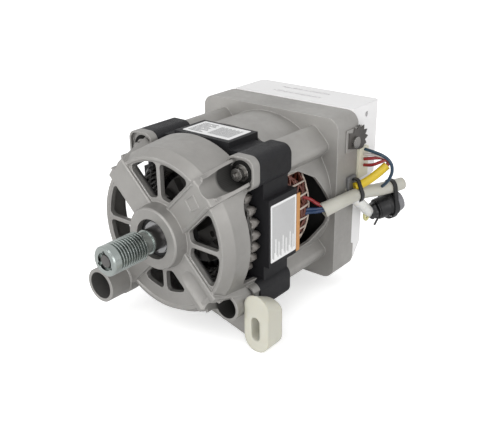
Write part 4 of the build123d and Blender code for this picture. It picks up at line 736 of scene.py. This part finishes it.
# Floor, light and camera
def plane(name, half, z, finish):
    """A large square floor at a height, from the middle to each side by a half width, in metres."""
    data = bpy.data.meshes.new(name)
    data.from_pydata([(-half, -half, z), (half, -half, z), (half, half, z), (-half, half, z)], [], [(0, 1, 2, 3)])
    obj = bpy.data.objects.new(name, data)
    obj.data.materials.append(finish)
    bpy.context.scene.collection.objects.link(obj)
    obj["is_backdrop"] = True


def light(name, place, size, power):
    """A soft square area light that faces the motor's middle."""
    lamp = bpy.data.lights.new(name, "AREA")
    lamp.shape = "RECTANGLE"
    lamp.size = lamp.size_y = size
    lamp.energy = power
    obj = bpy.data.objects.new(name, lamp)
    obj.location = place
    obj.rotation_euler = (Vector(MIDDLE) - Vector(place)).to_track_quat("-Z", "Y").to_euler()
    bpy.context.scene.collection.objects.link(obj)


FLOOR_GLOW = 0.45           # Seen by the camera alone, it whitens the floor and leaves the shadow
MIDDLE = (0.0, 0.07, 0.0)
FLOOR = material("floor_white", (0.95, 0.95, 0.95), 0.9, 0.0, (0.95, 0.95, 0.95), 0.0, 0.0)
floor_nodes, floor_links = FLOOR.node_tree.nodes, FLOOR.node_tree.links
seen = floor_nodes.new("ShaderNodeLightPath")
lift = floor_nodes.new("ShaderNodeMath")
lift.operation = "MULTIPLY"
lift.inputs[1].default_value = FLOOR_GLOW
floor_links.new(seen.outputs["Is Camera Ray"], lift.inputs[0])
floor_nodes["Principled BSDF"].inputs["Emission Color"].default_value = (1.0, 1.0, 1.0, 1.0)
floor_links.new(lift.outputs["Value"], floor_nodes["Principled BSDF"].inputs["Emission Strength"])
plane("floor", 30.0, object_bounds()[0][2] - 0.0002, FLOOR)
light("key", (0.15, -0.70, 1.05), 0.6, 3.0)
light("front_fill", (0.95, -0.85, 0.25), 0.8, 5.2)
light("left_fill", (-0.35, -1.2, 0.35), 0.8, 6.0)
light("right_fill", (1.0, 0.25, 0.45), 0.6, 1.1)

STUDIO_LEVEL = 0.74         # The world's strength on surfaces; where it is seen or mirrored it is white
world = bpy.data.worlds.new("studio")
world.use_nodes = True
background = world.node_tree.nodes["Background"]
background.inputs["Color"].default_value = (1.0, 1.0, 1.0, 1.0)
studio_nodes, studio_links = world.node_tree.nodes, world.node_tree.links
path = studio_nodes.new("ShaderNodeLightPath")
seen_or_through = combine(studio_nodes, studio_links, "MAXIMUM", path.outputs["Is Camera Ray"],
                          path.outputs["Is Transmission Ray"])
any_view = combine(studio_nodes, studio_links, "MAXIMUM", seen_or_through, path.outputs["Is Glossy Ray"])
level = spread(studio_nodes, studio_links, any_view, 0.0, 1.0, STUDIO_LEVEL, 1.0)
studio_links.new(level, background.inputs["Strength"])
scene = bpy.context.scene
scene.world = world

# Camera, fitted to the photograph: focal length in pixels of a picture 500 wide, angles, and place in mm
PHOTO_WIDTH = 500
FOCAL_PX = 733.77
AZIMUTH, ELEVATION, ROLL = math.radians(38.96), math.radians(23.54), math.radians(-0.72)
CAMERA_PLACE = (343.45, -315.80, 218.30)
back = Vector((math.sin(AZIMUTH) * math.cos(ELEVATION), -math.cos(AZIMUTH) * math.cos(ELEVATION),
               math.sin(ELEVATION)))
right = Vector((math.cos(AZIMUTH), math.sin(AZIMUTH), 0.0))
up = back.cross(right)
right_rolled = right * math.cos(ROLL) + up * math.sin(ROLL)
up_rolled = up * math.cos(ROLL) - right * math.sin(ROLL)
lens = bpy.data.cameras.new("camera")
lens.sensor_width = 36.0
lens.lens = FOCAL_PX / PHOTO_WIDTH * lens.sensor_width
lens.clip_start = 0.01
camera = bpy.data.objects.new("camera", lens)
facing = Matrix((right_rolled, up_rolled, back)).transposed().to_4x4()
camera.matrix_world = Matrix.Translation(Vector(CAMERA_PLACE) * MM) @ facing
scene.collection.objects.link(camera)
scene.camera = camera

scene.view_settings.view_transform = "Standard"
